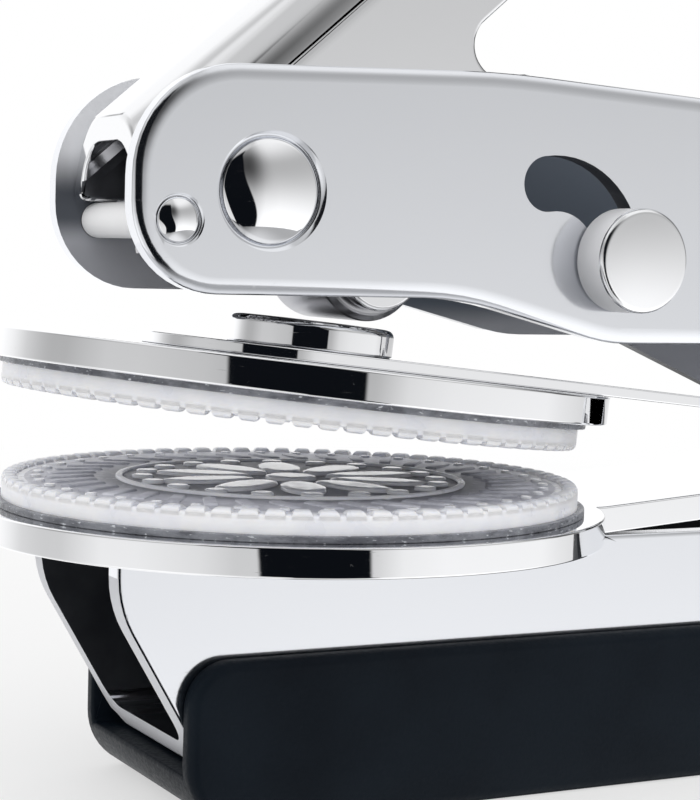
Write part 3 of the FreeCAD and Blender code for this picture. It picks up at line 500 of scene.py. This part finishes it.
def make_camera():
    """View from the front left, a little above the dies."""
    azimuth, drop, roll = map(math.radians, (CAMERA_AZIMUTH, CAMERA_DROP, CAMERA_ROLL))
    ahead = Vector((math.sin(azimuth) * math.cos(drop), math.cos(azimuth) * math.cos(drop), -math.sin(drop)))
    level = Vector((math.cos(azimuth), -math.sin(azimuth), 0))
    above = level.cross(ahead)
    right = level * math.cos(roll) + above * math.sin(roll)
    up = above * math.cos(roll) - level * math.sin(roll)
    camera_data = bpy.data.cameras.new("camera")
    camera_data.lens = CAMERA_LENS
    camera_data.clip_start = 0.01
    camera = bpy.data.objects.new("camera", camera_data)
    bpy.context.collection.objects.link(camera)
    turn = Matrix((right, up, -ahead)).transposed().to_4x4()
    camera.matrix_world = Matrix.Translation(CAMERA_AT * MM) @ turn
    bpy.context.scene.camera = camera


# ---------------------------------------------------------------------------------------------------------
# mesh helpers

def keep_mesh(name, mesh, materials=(), smooth_angle=None):
    """Turn a bmesh into an object at the origin."""
    data = bpy.data.meshes.new(name)
    mesh.to_mesh(data)
    mesh.free()
    for material in materials:
        data.materials.append(material)
    if smooth_angle is not None:
        data.shade_smooth()
        data.set_sharp_from_angle(angle=math.radians(smooth_angle))
    thing = bpy.data.objects.new(name, data)
    bpy.context.collection.objects.link(thing)
    return thing


def merged(node):
    """A node's shape as one clean mesh: its loose triangles welded and its flat faces made whole."""
    mesh = bmesh.new()
    mesh.from_mesh(frame["nodes"][node].data)
    bmesh.ops.remove_doubles(mesh, verts=mesh.verts, dist=2e-7)
    bmesh.ops.dissolve_limit(mesh, angle_limit=math.radians(0.6), verts=mesh.verts, edges=mesh.edges)
    return mesh


def ease_edges(thing, width, segments=3, least_angle=35.0, weighed=False):
    """Rounded edges, as tumbling and polishing leave them: by angle, or by their own weight."""
    ease = thing.modifiers.new("eased edges", "BEVEL")
    ease.width = width * MM
    ease.segments = segments
    ease.limit_method = "WEIGHT" if weighed else "ANGLE"
    ease.angle_limit = math.radians(least_angle)
    ease.harden_normals = True
    ease.use_clamp_overlap = False
    return ease


def weigh_edges(mesh, rule):
    """Mark how much of the easing each sharp edge gets, from 0 to 1."""
    weights = mesh.edges.layers.float.new("bevel_weight_edge")
    for edge in mesh.edges:
        if len(edge.link_faces) == 2:
            at = (edge.verts[0].co + edge.verts[1].co) / 2 / MM
            edge[weights] = rule(at, math.degrees(edge.calc_face_angle(0)))


def add_turned(mesh, profile, steps=152):
    """Spin a half section of (radius, height) millimetres round Z."""
    verts = [mesh.verts.new((radius * MM, 0, height * MM)) for radius, height in profile]
    edges = [mesh.edges.new(pair) for pair in zip(verts, verts[1:])]
    bmesh.ops.spin(mesh, geom=verts + edges, cent=(0, 0, 0), axis=(0, 0, 1), dvec=(0, 0, 0),
                   angle=math.tau, steps=steps, use_merge=True)
    bmesh.ops.remove_doubles(mesh, verts=mesh.verts, dist=1e-7)


def as_modified(thing):
    """The mesh that an object's modifiers give; the object itself goes."""
    bpy.context.view_layer.update()
    data = bpy.data.meshes.new_from_object(thing.evaluated_get(bpy.context.evaluated_depsgraph_get()))
    bpy.data.objects.remove(thing)
    mesh = bmesh.new()
    mesh.from_mesh(data)
    return mesh


def stand_for(thing, body, node):
    """Let a piece ride on a body and replace a node."""
    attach(thing, body)
    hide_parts(node)


def polished_copy(node, body, finish, width, segments=3, least_angle=35.0):
    """The node's own shape with eased edges and smooth curves."""
    thing = keep_mesh(f"{node}_polished", merged(node), [finish], smooth_angle=least_angle)
    ease_edges(thing, width, segments, least_angle)
    stand_for(thing, body, node)


# ---------------------------------------------------------------------------------------------------------
# pieces

def make_polished_parts():
    """Pieces that keep their own shape and only get eased edges."""
    polished_copy("lower_plate", "clip_lower", CHROME, 0.16)
    polished_copy("upper_plate", "clip_upper", CHROME, 0.16)
    polished_copy("press_button", "clip_upper", CHROME, 0.2, least_angle=25.0)
    polished_copy("press_roller", "roller", STEEL, 0.15, least_angle=25.0)
    polished_copy("clip_rivets", "clip_lower", STEEL, 0.15, least_angle=25.0)
    polished_copy("pivot_bush", "lever", STEEL, 0.1)
    polished_copy("roller_pin", "lever", STEEL, 0.1)
    polished_copy("lock_pin", "lock", STEEL, 0.1)
    polished_copy("locating_boss", "clip_lower", STEEL, 0.2)
    polished_copy("lower_pad", "clip_lower", PAD, 0.08, 2)
    polished_copy("upper_pad", "clip_upper", PAD, 0.08, 2)


# the folded frame, in millimetres: half its width, its sheet, and its rolled edge across and into the face
FRAME_HALF = 8.35
SHEET = 1.6
ROLL_WIDE, ROLL_DEEP = 1.15, 0.42
# the frame's finishes, in the order of its materials
# the raw inside and the slot walls carry painted light and shade
ROLLED, RAW_AND_SHADED, SHEARED, SLOT_WALL_SHADE = range(4)
# a slot's walls lie within this reach of its centre, and above the cheek's lower edge
SLOT_WALLS_REACH, BELLY_EDGE = 7.35, 36.2
# the sheared toe lies under this height
TOE_TOP = 17
# the roll has this share of its width up to a height, and widens to the full width over the next stretch
ROLL_BASE_SHARE, ROLL_NARROW_AT, ROLL_FULL_OVER = 0.32, 22, 8

# cross pins, in millimetres: place, radii of shank and head, height of the dome, radius of the seat's mouth,
# and how far from the axis the seat's own edges reach
Pin = namedtuple("Pin", "name x z shank head dome mouth reach")
PINS = [
    Pin("pivot_pin", -5.9, 42.4, 3.0, 3.5, 0.82, 4.0, 4.9),
    Pin("stop_pin", -12.5, 40.3, 1.25, 1.5, 0.5, 1.75, 2.3),
    Pin("tie_rivet", 72.0, 19.5, 2.0, 2.5, 0.6, 2.9, 3.7),
]
# rim of a head under the cheek's face, depth of its seat, and slope of the seat's mouth
HEAD_SINK, SEAT_DEPTH, MOUTH_SLOPE = 0.2, 0.78, 0.54


def from_pin(pin, at):
    """Distance of a point from a pin's axis."""
    return math.hypot(at.x - pin.x, at.z - pin.z)


def pin_near(at):
    """The pin whose seat a point of the frame belongs to, if any, and the point's distance from its axis."""
    for pin in PINS:
        radius = from_pin(pin, at)
        if radius < pin.reach:
            return pin, radius
    return None, 0


def round_seats(mesh):
    """Finer circles at the pins' seats, with a shallow mouth."""
    circles = []
    for edge in mesh.edges:
        one, two = (vert.co / MM for vert in edge.verts)
        pin, radius = pin_near(one)
        if pin and abs(one.y - two.y) < NEAR and abs(from_pin(pin, two) - radius) < 2 * NEAR:
            circles.append(edge)
    radii = {round(pin_near(edge.verts[0].co / MM)[1], 2) for edge in circles}
    made = bmesh.ops.subdivide_edges(mesh, edges=circles, cuts=2, use_grid_fill=True)["geom_inner"]
    fresh = {item for item in made if isinstance(item, bmesh.types.BMVert)}
    for vert in mesh.verts:
        at = vert.co / MM
        pin, radius = pin_near(at)
        if not pin:
            continue
        wanted = radius
        if vert in fresh:
            wanted = min(radii, key=lambda known: abs(known - radius))
        depth = FRAME_HALF - abs(at.y)
        if 0.1 < depth < 0.6 and abs(wanted - pin.head) < 0.06:
            vert.co.y = math.copysign((FRAME_HALF - MOUTH_SLOPE * (pin.mouth - pin.head)) * MM, at.y)
        if wanted != radius and abs(wanted - radius) < 0.2:
            vert.co.x = (pin.x + (at.x - pin.x) * wanted / radius) * MM
            vert.co.z = (pin.z + (at.z - pin.z) * wanted / radius) * MM


def loops_of(edges):
    """Edges sorted into their separate loops, the longest loop first."""
    left, found = set(edges), []
    for start in edges:
        if start not in left:
            continue
        left.remove(start)
        loop = [start]
        for edge in loop:
            for other in [*edge.verts[0].link_edges, *edge.verts[1].link_edges]:
                if other in left:
                    left.remove(other)
                    loop.append(other)
        found.append(loop)
    return sorted(found, key=lambda loop: -sum(edge.calc_length() for edge in loop))


def open_plane(mesh, level):
    """Take the faces of one upright plane away; gives their finish, normal, outline and holes."""
    def in_plane(item):
        return all(abs(vert.co.y / MM - level) < 0.002 for vert in item.verts)

    old = [face for face in mesh.faces if in_plane(face)]
    finish, facing = old[0].material_index, old[0].normal.copy()
    bmesh.ops.delete(mesh, geom=old, context="FACES_ONLY")
    wires = [edge for edge in mesh.edges if not edge.link_faces and in_plane(edge)]
    bmesh.ops.delete(mesh, geom=wires, context="EDGES")
    rims = loops_of([edge for edge in mesh.edges if len(edge.link_faces) == 1 and in_plane(edge)])
    return finish, facing, rims[0], [edge for loop in rims[1:] for edge in loop]


def turn_to(face, facing):
    """Make a new face look the way the old ones did."""
    face.normal_update()
    if face.normal.dot(facing) < 0:
        face.normal_flip()


def cap_plane(mesh, level):
    """Cover one cheek with a single face, its holes too, so that its outline can be rolled evenly."""
    finish, facing, outline, _ = open_plane(mesh, level)
    cap = bmesh.ops.edgeloop_fill(mesh, edges=outline, mat_nr=finish)["faces"][0]
    turn_to(cap, facing)


def refill_plane(mesh, level):
    """Fill one cheek cleanly between its outline and its holes."""
    finish, facing, outline, holes = open_plane(mesh, level)
    made = bmesh.ops.triangle_fill(mesh, use_beauty=True, edges=outline + holes, normal=facing)["geom"]
    fresh = {item for item in made if isinstance(item, bmesh.types.BMFace)}
    for face in fresh:
        face.material_index = finish
        turn_to(face, facing)
    spare = [edge for edge in mesh.edges if len(edge.link_faces) == 2 and fresh.issuperset(edge.link_faces)]
    bmesh.ops.dissolve_limit(mesh, angle_limit=0.01, verts=[], edges=spare)


def frame_rule(at, angle):
    """Wide rolled edges round the head's outline, narrower ones towards the base."""
    if angle < 50 or abs(at.y) < FRAME_HALF - 0.05:
        return 0
    rise = min(max((at.z - ROLL_NARROW_AT) / ROLL_FULL_OVER, 0), 1)
    return ROLL_BASE_SHARE + (1 - ROLL_BASE_SHARE) * rise


def frame_finish(face):
    """Finish of a face of the frame: rolled outside, raw inside with painted light and shade, sheared at the
    toe, painted dark as shade in the slots.
    """
    centre, normal = face.calc_center_median() / MM, face.normal
    if centre.y * normal.y < 0 and abs(normal.y) > 0.9:
        return RAW_AND_SHADED
    if abs(normal.y) >= 0.3:
        return ROLLED
    slot_reach = math.hypot(centre.x - SLOT_CENTRE.x / MM, centre.z - SLOT_CENTRE.z / MM)
    if slot_reach < SLOT_WALLS_REACH and centre.z > BELLY_EDGE:
        return SLOT_WALL_SHADE if abs(centre.y) > FRAME_HALF - SHEET - 0.1 else RAW_AND_SHADED
    if centre.z < TOE_TOP and normal.x < -0.3 and centre.x < 0:
        return SHEARED
    return ROLLED


def make_frame():
    """Folded press frame: its outline is rolled over by the blanking, wide on the face and shallow."""
    mesh = merged("press_frame")
    round_seats(mesh)
    mesh.normal_update()
    for face in mesh.faces:
        face.material_index = frame_finish(face)
    for level in (-FRAME_HALF, FRAME_HALF):
        cap_plane(mesh, level)
    weigh_edges(mesh, frame_rule)
    finishes = [FRAME_CHROME, FRAME_INSIDE_LIT_AND_SHADED, CUT_EDGE, LEVER_INSIDE_SHADED]
    blank = keep_mesh("frame_blank", mesh, finishes)
    roll = ease_edges(blank, ROLL_WIDE, 7, weighed=True)
    roll.loop_slide = False
    roll.harden_normals = False
    mesh = as_modified(blank)
    for level in (-FRAME_HALF, FRAME_HALF):
        refill_plane(mesh, level)
    for vert in mesh.verts:
        depth = FRAME_HALF - abs(vert.co.y) / MM
        if 0 < depth < ROLL_WIDE + 0.02 and not pin_near(vert.co / MM)[0]:
            vert.co.y = math.copysign((FRAME_HALF - depth * ROLL_DEEP / ROLL_WIDE) * MM, vert.co.y)
    bmesh.ops.remove_doubles(mesh, verts=mesh.verts, dist=1e-6)
    bmesh.ops.dissolve_degenerate(mesh, dist=1e-6, edges=mesh.edges)
    rolled = keep_mesh("press_frame_polished", mesh, finishes, smooth_angle=28)
    even = rolled.modifiers.new("flat cheeks", "WEIGHTED_NORMAL")
    even.keep_sharp = True
    even.weight = 100
    stand_for(rolled, "frame", "press_frame")


def make_pins():
    """Cross pins with polished domed heads at both ends and a plain shank between the cheeks."""
    for pin in PINS:
        ball = (pin.head * pin.head + pin.dome * pin.dome) / (2 * pin.dome)
        ball_at = FRAME_HALF - HEAD_SINK + pin.dome - ball
        widest = math.asin(0.985 * pin.head / ball)
        arc = [(ball * math.sin(turn), ball_at + ball * math.cos(turn))
               for turn in (widest * step / 12 for step in range(13))]
        seat = FRAME_HALF - SEAT_DEPTH
        half = [*arc, (pin.head, arc[-1][1] - 0.06), (pin.head, seat), (pin.shank, seat),
                (pin.shank, FRAME_HALF - SHEET - 0.1)]
        mesh = bmesh.new()
        add_turned(mesh, half + [(radius, -height) for radius, height in reversed(half)], steps=128)
        place = Matrix.Translation((pin.x * MM, 0, pin.z * MM)) @ Matrix.Rotation(math.radians(90), 4, "X")
        bmesh.ops.transform(mesh, matrix=place, verts=mesh.verts)
        bmesh.ops.recalc_face_normals(mesh, faces=mesh.faces)
        for face in mesh.faces:
            face.material_index = 1 if abs(face.calc_center_median().y) < (FRAME_HALF - SHEET) * MM else 0
        # the stop pin's shank carries the painted sheen
        shank_finish = PIN_SHANK_SHEEN if pin.name == "stop_pin" else STEEL
        turned = keep_mesh(f"{pin.name}_turned", mesh, [CHROME, shank_finish], smooth_angle=40)
        stand_for(turned, "frame", pin.name)


# the lever, in millimetres: height at which its rounded tip starts, and half the width of its back
LEVER_TIP = 121
LEVER_BACK_HALF = 5.0


def lever_rule(at, angle):
    """Even easing, but none at the rounded tip."""
    return 0 if angle < 50 or at.z > LEVER_TIP else 1


def make_lever():
    """Folded lever: polished outside, raw inside its channel, and dark there and underneath with painted
    shade.
    """
    mesh = merged("lever_channel")
    to_lever = ON_LEVER.inverted().to_3x3()
    for face in mesh.faces:
        centre, normal = face.calc_center_median() / MM, face.normal
        inward = abs(normal.y) > 0.9 and centre.y * normal.y < 0
        back = abs(normal.y) < 0.3 and abs(centre.y) < LEVER_BACK_HALF
        under = back and (to_lever @ normal).z < -0.5
        face.material_index = 1 if inward or under else 0
    weigh_edges(mesh, lever_rule)
    lever = keep_mesh("lever_channel_polished", mesh, [LEVER_CHROME, LEVER_INSIDE_SHADED], smooth_angle=30)
    ease_edges(lever, 0.35, weighed=True)
    stand_for(lever, "lever", "lever_channel")


# lock buttons, in millimetres: round of the rim, rise of the crown, ease at the foot
BUTTON_ROUND, BUTTON_CROWN, BUTTON_FOOT = 0.42, 0.24, 0.12


def make_lock_buttons():
    """Turned thumb buttons with a slightly crowned face."""
    low, high = (corner / MM for corner in map(Vector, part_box("lock_button_near")))
    radius = (high.x - low.x) / 2
    long = high.y - low.y
    centre = (low + high) / 2
    flank_top = long - BUTTON_ROUND - BUTTON_CROWN
    face_radius = radius - BUTTON_ROUND
    rim = [(face_radius + BUTTON_ROUND * math.cos(turn), flank_top + BUTTON_ROUND * math.sin(turn))
           for turn in (math.radians(15 * step) for step in range(7))]
    crown = [(share * face_radius, long - BUTTON_CROWN * share * share)
             for share in (0.85, 0.65, 0.45, 0.25, 0.1, 0)]
    profile = [(0, 0), (radius - BUTTON_FOOT, 0), (radius, BUTTON_FOOT), *rim, *crown]
    for name, side in (("lock_button_near", -1), ("lock_button_far", 1)):
        mesh = bmesh.new()
        add_turned(mesh, profile, steps=96)
        for face in mesh.faces:
            face.material_index = 1 if face.calc_center_median().z > flank_top * MM else 0
        turn = Matrix.Rotation(math.radians(-90 * side), 4, "X")
        lift = Matrix.Translation(Vector((centre.x, side * abs(high.y), centre.z)) * MM)
        bmesh.ops.transform(mesh, matrix=lift @ turn, verts=mesh.verts)
        bmesh.ops.recalc_face_normals(mesh, faces=mesh.faces)
        turned = keep_mesh(f"{name}_turned", mesh, [BUTTON_FLANK, BUTTON_FACE], smooth_angle=50)
        stand_for(turned, "lock", name)


def boot_block(low, high):
    """A plain block between two corners in millimetres."""
    mesh = bmesh.new()
    made = bmesh.ops.create_cube(mesh, size=1)["verts"]
    bmesh.ops.scale(mesh, vec=(Vector(high) - Vector(low)) * MM, verts=made)
    bmesh.ops.translate(mesh, vec=(Vector(high) + Vector(low)) / 2 * MM, verts=made)
    return mesh


def ease_chosen(mesh, width, segments, choose):
    """Round the edges that a test of their two ends chooses."""
    edges = [edge for edge in mesh.edges if choose(*(vert.co / MM for vert in edge.verts))]
    bmesh.ops.bevel(mesh, geom=edges, offset=width * MM, segments=segments, profile=0.5, affect="EDGES",
                    material=-1)


# rubber boot, in millimetres: floor, play round the frame, rear of the well, its rounds, and the places and
# half section of the screw holes
BOOT_FLOOR, BOOT_PLAY, BOOT_WELL_REAR = 3.6, 0.1, 112.1
BOOT_FOOT_ROUND, BOOT_TOP_ROUND, BOOT_SIDE_ROUND, BOOT_RIM_ROUND = 4.4, 3.2, 0.75, 0.3
SCREWS_AT = (12.0, 92.0)
SCREW_HOLE = [(0, -1), (3.45, -1), (3.45, 0.85), (1.75, 2.35), (1.75, 5), (0, 5)]


def boot_outside():
    """The boot's block, soft at the foot, at the upper ends and along its sides."""
    low, high = (corner / MM for corner in map(Vector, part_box("base_boot")))
    top = high.z - 0.45

    def runs_across(one, two):
        return abs(one.x - two.x) < NEAR and abs(one.z - two.z) < NEAR

    def in_side(one, two):
        return abs(abs(one.y) - high.y) < NEAR and abs(abs(two.y) - high.y) < NEAR and one.y * two.y > 0

    outside = boot_block((low.x, low.y, 0), (high.x, high.y, top))
    ease_chosen(outside, BOOT_FOOT_ROUND, 12, lambda one, two: runs_across(one, two) and one.z < 1)
    ease_chosen(outside, BOOT_TOP_ROUND, 10, lambda one, two: runs_across(one, two) and one.z > top - 1)
    ease_chosen(outside, BOOT_SIDE_ROUND, 5, in_side)
    return keep_mesh("boot_moulded", outside, [RUBBER])


def boot_knife():
    """What is cut out of the boot: the frame's well, open at the toe, and the screw holes."""
    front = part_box("base_boot")[0][0] / MM
    half = FRAME_HALF + BOOT_PLAY
    cutter = boot_block((front - 5, -half, BOOT_FLOOR), (BOOT_WELL_REAR, half, 30))
    for x in SCREWS_AT:
        screw = bmesh.new()
        add_turned(screw, SCREW_HOLE, steps=48)
        bmesh.ops.translate(screw, vec=(x * MM, 0, 0), verts=screw.verts)
        bmesh.ops.recalc_face_normals(screw, faces=screw.faces)
        holder = bpy.data.meshes.new("screw_hole")
        screw.to_mesh(holder)
        screw.free()
        cutter.from_mesh(holder)
        bpy.data.meshes.remove(holder)
    return keep_mesh("boot_knife", cutter)


def make_boot():
    """Moulded rubber boot: soft outside, open at the toe, with a well for the frame and screw holes below."""
    boot, knife = boot_outside(), boot_knife()
    cut = boot.modifiers.new("well", "BOOLEAN")
    cut.object = knife
    cut.operation = "DIFFERENCE"
    cut.solver = "EXACT"
    cut.use_self = True
    mesh = as_modified(boot)
    bpy.data.objects.remove(knife)
    bmesh.ops.remove_doubles(mesh, verts=mesh.verts, dist=1e-6)
    bmesh.ops.dissolve_limit(mesh, angle_limit=math.radians(0.5), verts=mesh.verts, edges=mesh.edges)
    weigh_edges(mesh, lambda at, angle: 1 if angle > 55 else 0)
    boot = keep_mesh("boot_moulded", mesh, [RUBBER], smooth_angle=40)
    ease_edges(boot, BOOT_RIM_ROUND, weighed=True)
    stand_for(boot, "frame", "base_boot")


# the clip's leaf, in millimetres: half its width, its ends, its sheet, the round of its rear corners, and the
# rows of points across it
LEAF_HALF, LEAF_FRONT, LEAF_REAR, LEAF_SHEET, LEAF_CORNER = 9.2, -11.3, 63.12, 0.8, 2
LEAF_ROWS = (20, 26, 30, 34, 38, 42, 46, 50, 54, LEAF_REAR)


def make_leaf():
    """The clip's spring: one straight strip with a round front end, reaching behind the dies, tilted with the
    open clip.
    """
    half = LEAF_HALF * MM
    front = LEAF_FRONT * MM + half
    mesh = bmesh.new()
    bmesh.ops.create_circle(mesh, cap_ends=True, segments=128, radius=half)
    whole = mesh.verts[:] + mesh.edges[:] + mesh.faces[:]
    bmesh.ops.bisect_plane(mesh, geom=whole, plane_co=(0, 0, 0), plane_no=(1, 0, 0), clear_outer=True)
    bmesh.ops.remove_doubles(mesh, verts=mesh.verts, dist=1e-6)
    bmesh.ops.translate(mesh, verts=mesh.verts, vec=(front, 0, 0))
    rear = [edge for edge in mesh.edges if all(abs(vert.co.x - front) < 1e-6 for vert in edge.verts)]
    for row in LEAF_ROWS:
        made = bmesh.ops.extrude_edge_only(mesh, edges=rear)["geom"]
        rear = [item for item in made if isinstance(item, bmesh.types.BMEdge)]
        for vert in {vert for edge in rear for vert in edge.verts}:
            vert.co.x = row * MM
    corners = [vert for vert in mesh.verts
               if vert.co.x > (LEAF_REAR - 0.1) * MM and abs(vert.co.y) > half - 1e-6]
    bmesh.ops.bevel(mesh, geom=corners, offset=LEAF_CORNER * MM, segments=8, profile=0.5,
                    affect="VERTICES", material=-1)
    bmesh.ops.recalc_face_normals(mesh, faces=mesh.faces)
    made = bmesh.ops.extrude_face_region(mesh, geom=mesh.faces[:])["geom"]
    top = [item for item in made if isinstance(item, bmesh.types.BMVert)]
    bmesh.ops.translate(mesh, verts=top, vec=(0, 0, LEAF_SHEET * MM))
    bmesh.ops.translate(mesh, verts=mesh.verts, vec=(0, 0, BEND.z - LEAF_SHEET / 2 * MM))
    bmesh.ops.recalc_face_normals(mesh, faces=mesh.faces)
    bmesh.ops.transform(mesh, matrix=OPEN_CLIP, verts=mesh.verts)
    leaf = keep_mesh("clip_leaf", mesh, [CHROME], smooth_angle=35)
    ease_edges(leaf, 0.12)
    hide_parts("spring_leaf", "leaf_root")
    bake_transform(leaf)


# the dies, in millimetres: radius, thickness with the beads, easing of the rim
DIE_RADIUS, DIE_THICK, DIE_EASE = 20.5, 1.55, 0.12
# number and height of the beads, and width of their ring
BEADS, BEAD_HIGH, BEAD_RING = 76, 0.3, 1.1
# radius of the grey ground, and the raised band that stays in the die's own colour
GROUND_RADIUS = 18.9
BAND_INNER, BAND_OUTER, BAND_HIGH, BAND_EASE = 12.0, 12.5, 0.2, 0.08
# the dies' finishes, in the order of their materials
PLAIN, GREYED, RAISED = range(3)


def add_ring_of(mesh, count, add_form, *place_and_size, **settings):
    """Copies of one small relief form, evenly round Z."""
    before = set(mesh.faces)
    add_form(mesh, *place_and_size, **settings)
    form = [face for face in mesh.faces if face not in before]
    edges = list(dict.fromkeys(edge for face in form for edge in face.edges))
    verts = list(dict.fromkeys(vert for face in form for vert in face.verts))
    bmesh.ops.spin(mesh, geom=form + edges + verts, cent=(0, 0, 0), axis=(0, 0, 1), dvec=(0, 0, 0),
                   angle=math.tau * (count - 1) / count, steps=count - 1, use_duplicate=True)


def add_block(mesh, middle_at, size, turn=0.0, ease=0.12, segments=2):
    """Small raised block with rounded upper edges; millimetres, turned about its own middle."""
    verts = bmesh.ops.create_cube(mesh, size=1)["verts"]
    bmesh.ops.scale(mesh, vec=[length * MM for length in size], verts=verts)
    top = [vert for vert in verts if vert.co.z > 0]
    edges = [edge for edge in mesh.edges if all(vert in top for vert in edge.verts)]
    matrix = Matrix.Translation(Vector(middle_at) * MM) @ Matrix.Rotation(turn, 4, "Z")
    bmesh.ops.transform(mesh, matrix=matrix, verts=verts)
    bmesh.ops.bevel(mesh, geom=edges, offset=ease * MM, segments=segments, profile=0.5, affect="EDGES",
                    material=-1)


def add_drop(mesh, middle_at, size):
    """Low drop with a polished flat top."""
    verts = bmesh.ops.create_uvsphere(mesh, u_segments=16, v_segments=10, radius=0.5)["verts"]
    for vert in verts:
        vert.co.z = min(vert.co.z, 0.2)
    bmesh.ops.scale(mesh, vec=[length * MM for length in size], verts=verts)
    bmesh.ops.translate(mesh, vec=Vector(middle_at) * MM, verts=verts)


def die_blank(floor):
    """Turned blank of a die: its ground is grey on both sides of the raised band."""
    mesh = bmesh.new()
    band = floor + BAND_HIGH
    add_turned(mesh, [
        (0, 0), (DIE_RADIUS, 0), (DIE_RADIUS, floor - DIE_EASE), (DIE_RADIUS - DIE_EASE, floor),
        (DIE_RADIUS - BEAD_RING, floor), (GROUND_RADIUS, floor), (BAND_OUTER, floor),
        (BAND_OUTER, band - BAND_EASE), (BAND_OUTER - BAND_EASE, band), (BAND_INNER + BAND_EASE, band),
        (BAND_INNER, band - BAND_EASE), (BAND_INNER, floor), (3.0, floor), (0, floor),
    ])
    for face in mesh.faces:
        at = face.calc_center_median() / MM
        reach = math.hypot(at.x, at.y)
        ground = abs(at.z - floor) < 0.001 and reach < GROUND_RADIUS
        face.material_index = GREYED if ground and not BAND_INNER < reach < BAND_OUTER else PLAIN
    return mesh


def make_die(name, node, body, place):
    """Engraved die: beads round the rim, a thin band, a rosette inside it and slanting bars outside."""
    floor = DIE_THICK - BEAD_HIGH
    mesh = die_blank(floor)
    add_ring_of(mesh, BEADS, add_block, (DIE_RADIUS - 0.56, 0, floor), (1.08, 1.28, 0.6),
                ease=0.3, segments=4)
    smooth = set(mesh.faces)
    add_ring_of(mesh, 40, add_block, (15.7, 0, floor), (3.4, 0.9, 0.3), turn=math.radians(24))
    bars = {face for face in mesh.faces if face not in smooth}
    add_ring_of(mesh, 40, add_drop, (18.1, 0, floor), (0.8, 0.8, 0.8))
    add_ring_of(mesh, 10, add_drop, (6.4, 0, floor), (7.2, 3.2, 1.2))
    add_ring_of(mesh, 20, add_drop, (10.6, 0, floor), (1.6, 1.6, 1.2))
    add_drop(mesh, (0, 0, floor), (3.8, 3.8, 1.4))
    for face in mesh.faces:
        if face not in smooth:
            face.material_index = GREYED if face in bars else RAISED
    bmesh.ops.recalc_face_normals(mesh, faces=mesh.faces)
    bmesh.ops.transform(mesh, matrix=place, verts=mesh.verts)
    die = keep_mesh(name, mesh, [DIE, GROUND_GREY, RELIEF], smooth_angle=50)
    stand_for(die, body, node)


def make_dies():
    """The lower die face up, and the upper one face down on the open half of the clip."""
    make_die("lower_die_engraved", "lower_die", "clip_lower", Matrix.Translation((0, 0, LOWER_DIE_BACK)))
    flipped = OPEN_CLIP @ Matrix.Translation((0, 0, UPPER_DIE_BACK)) @ Matrix.Rotation(math.pi, 4, "X")
    make_die("upper_die_engraved", "upper_die", "clip_upper", flipped)


finish_nodes()
make_world()
make_floor()
make_lamp("key", (-0.35, -0.45, 0.6), size=0.6, power=1.2)
make_lamp("fill", (0.5, -0.3, 0.4), size=0.5, power=0.5)
make_camera()
make_frame()
make_pins()
make_lever()
make_lock_buttons()
make_boot()
make_polished_parts()
make_leaf()
make_dies()

bpy.context.scene.view_settings.view_transform = "Standard"
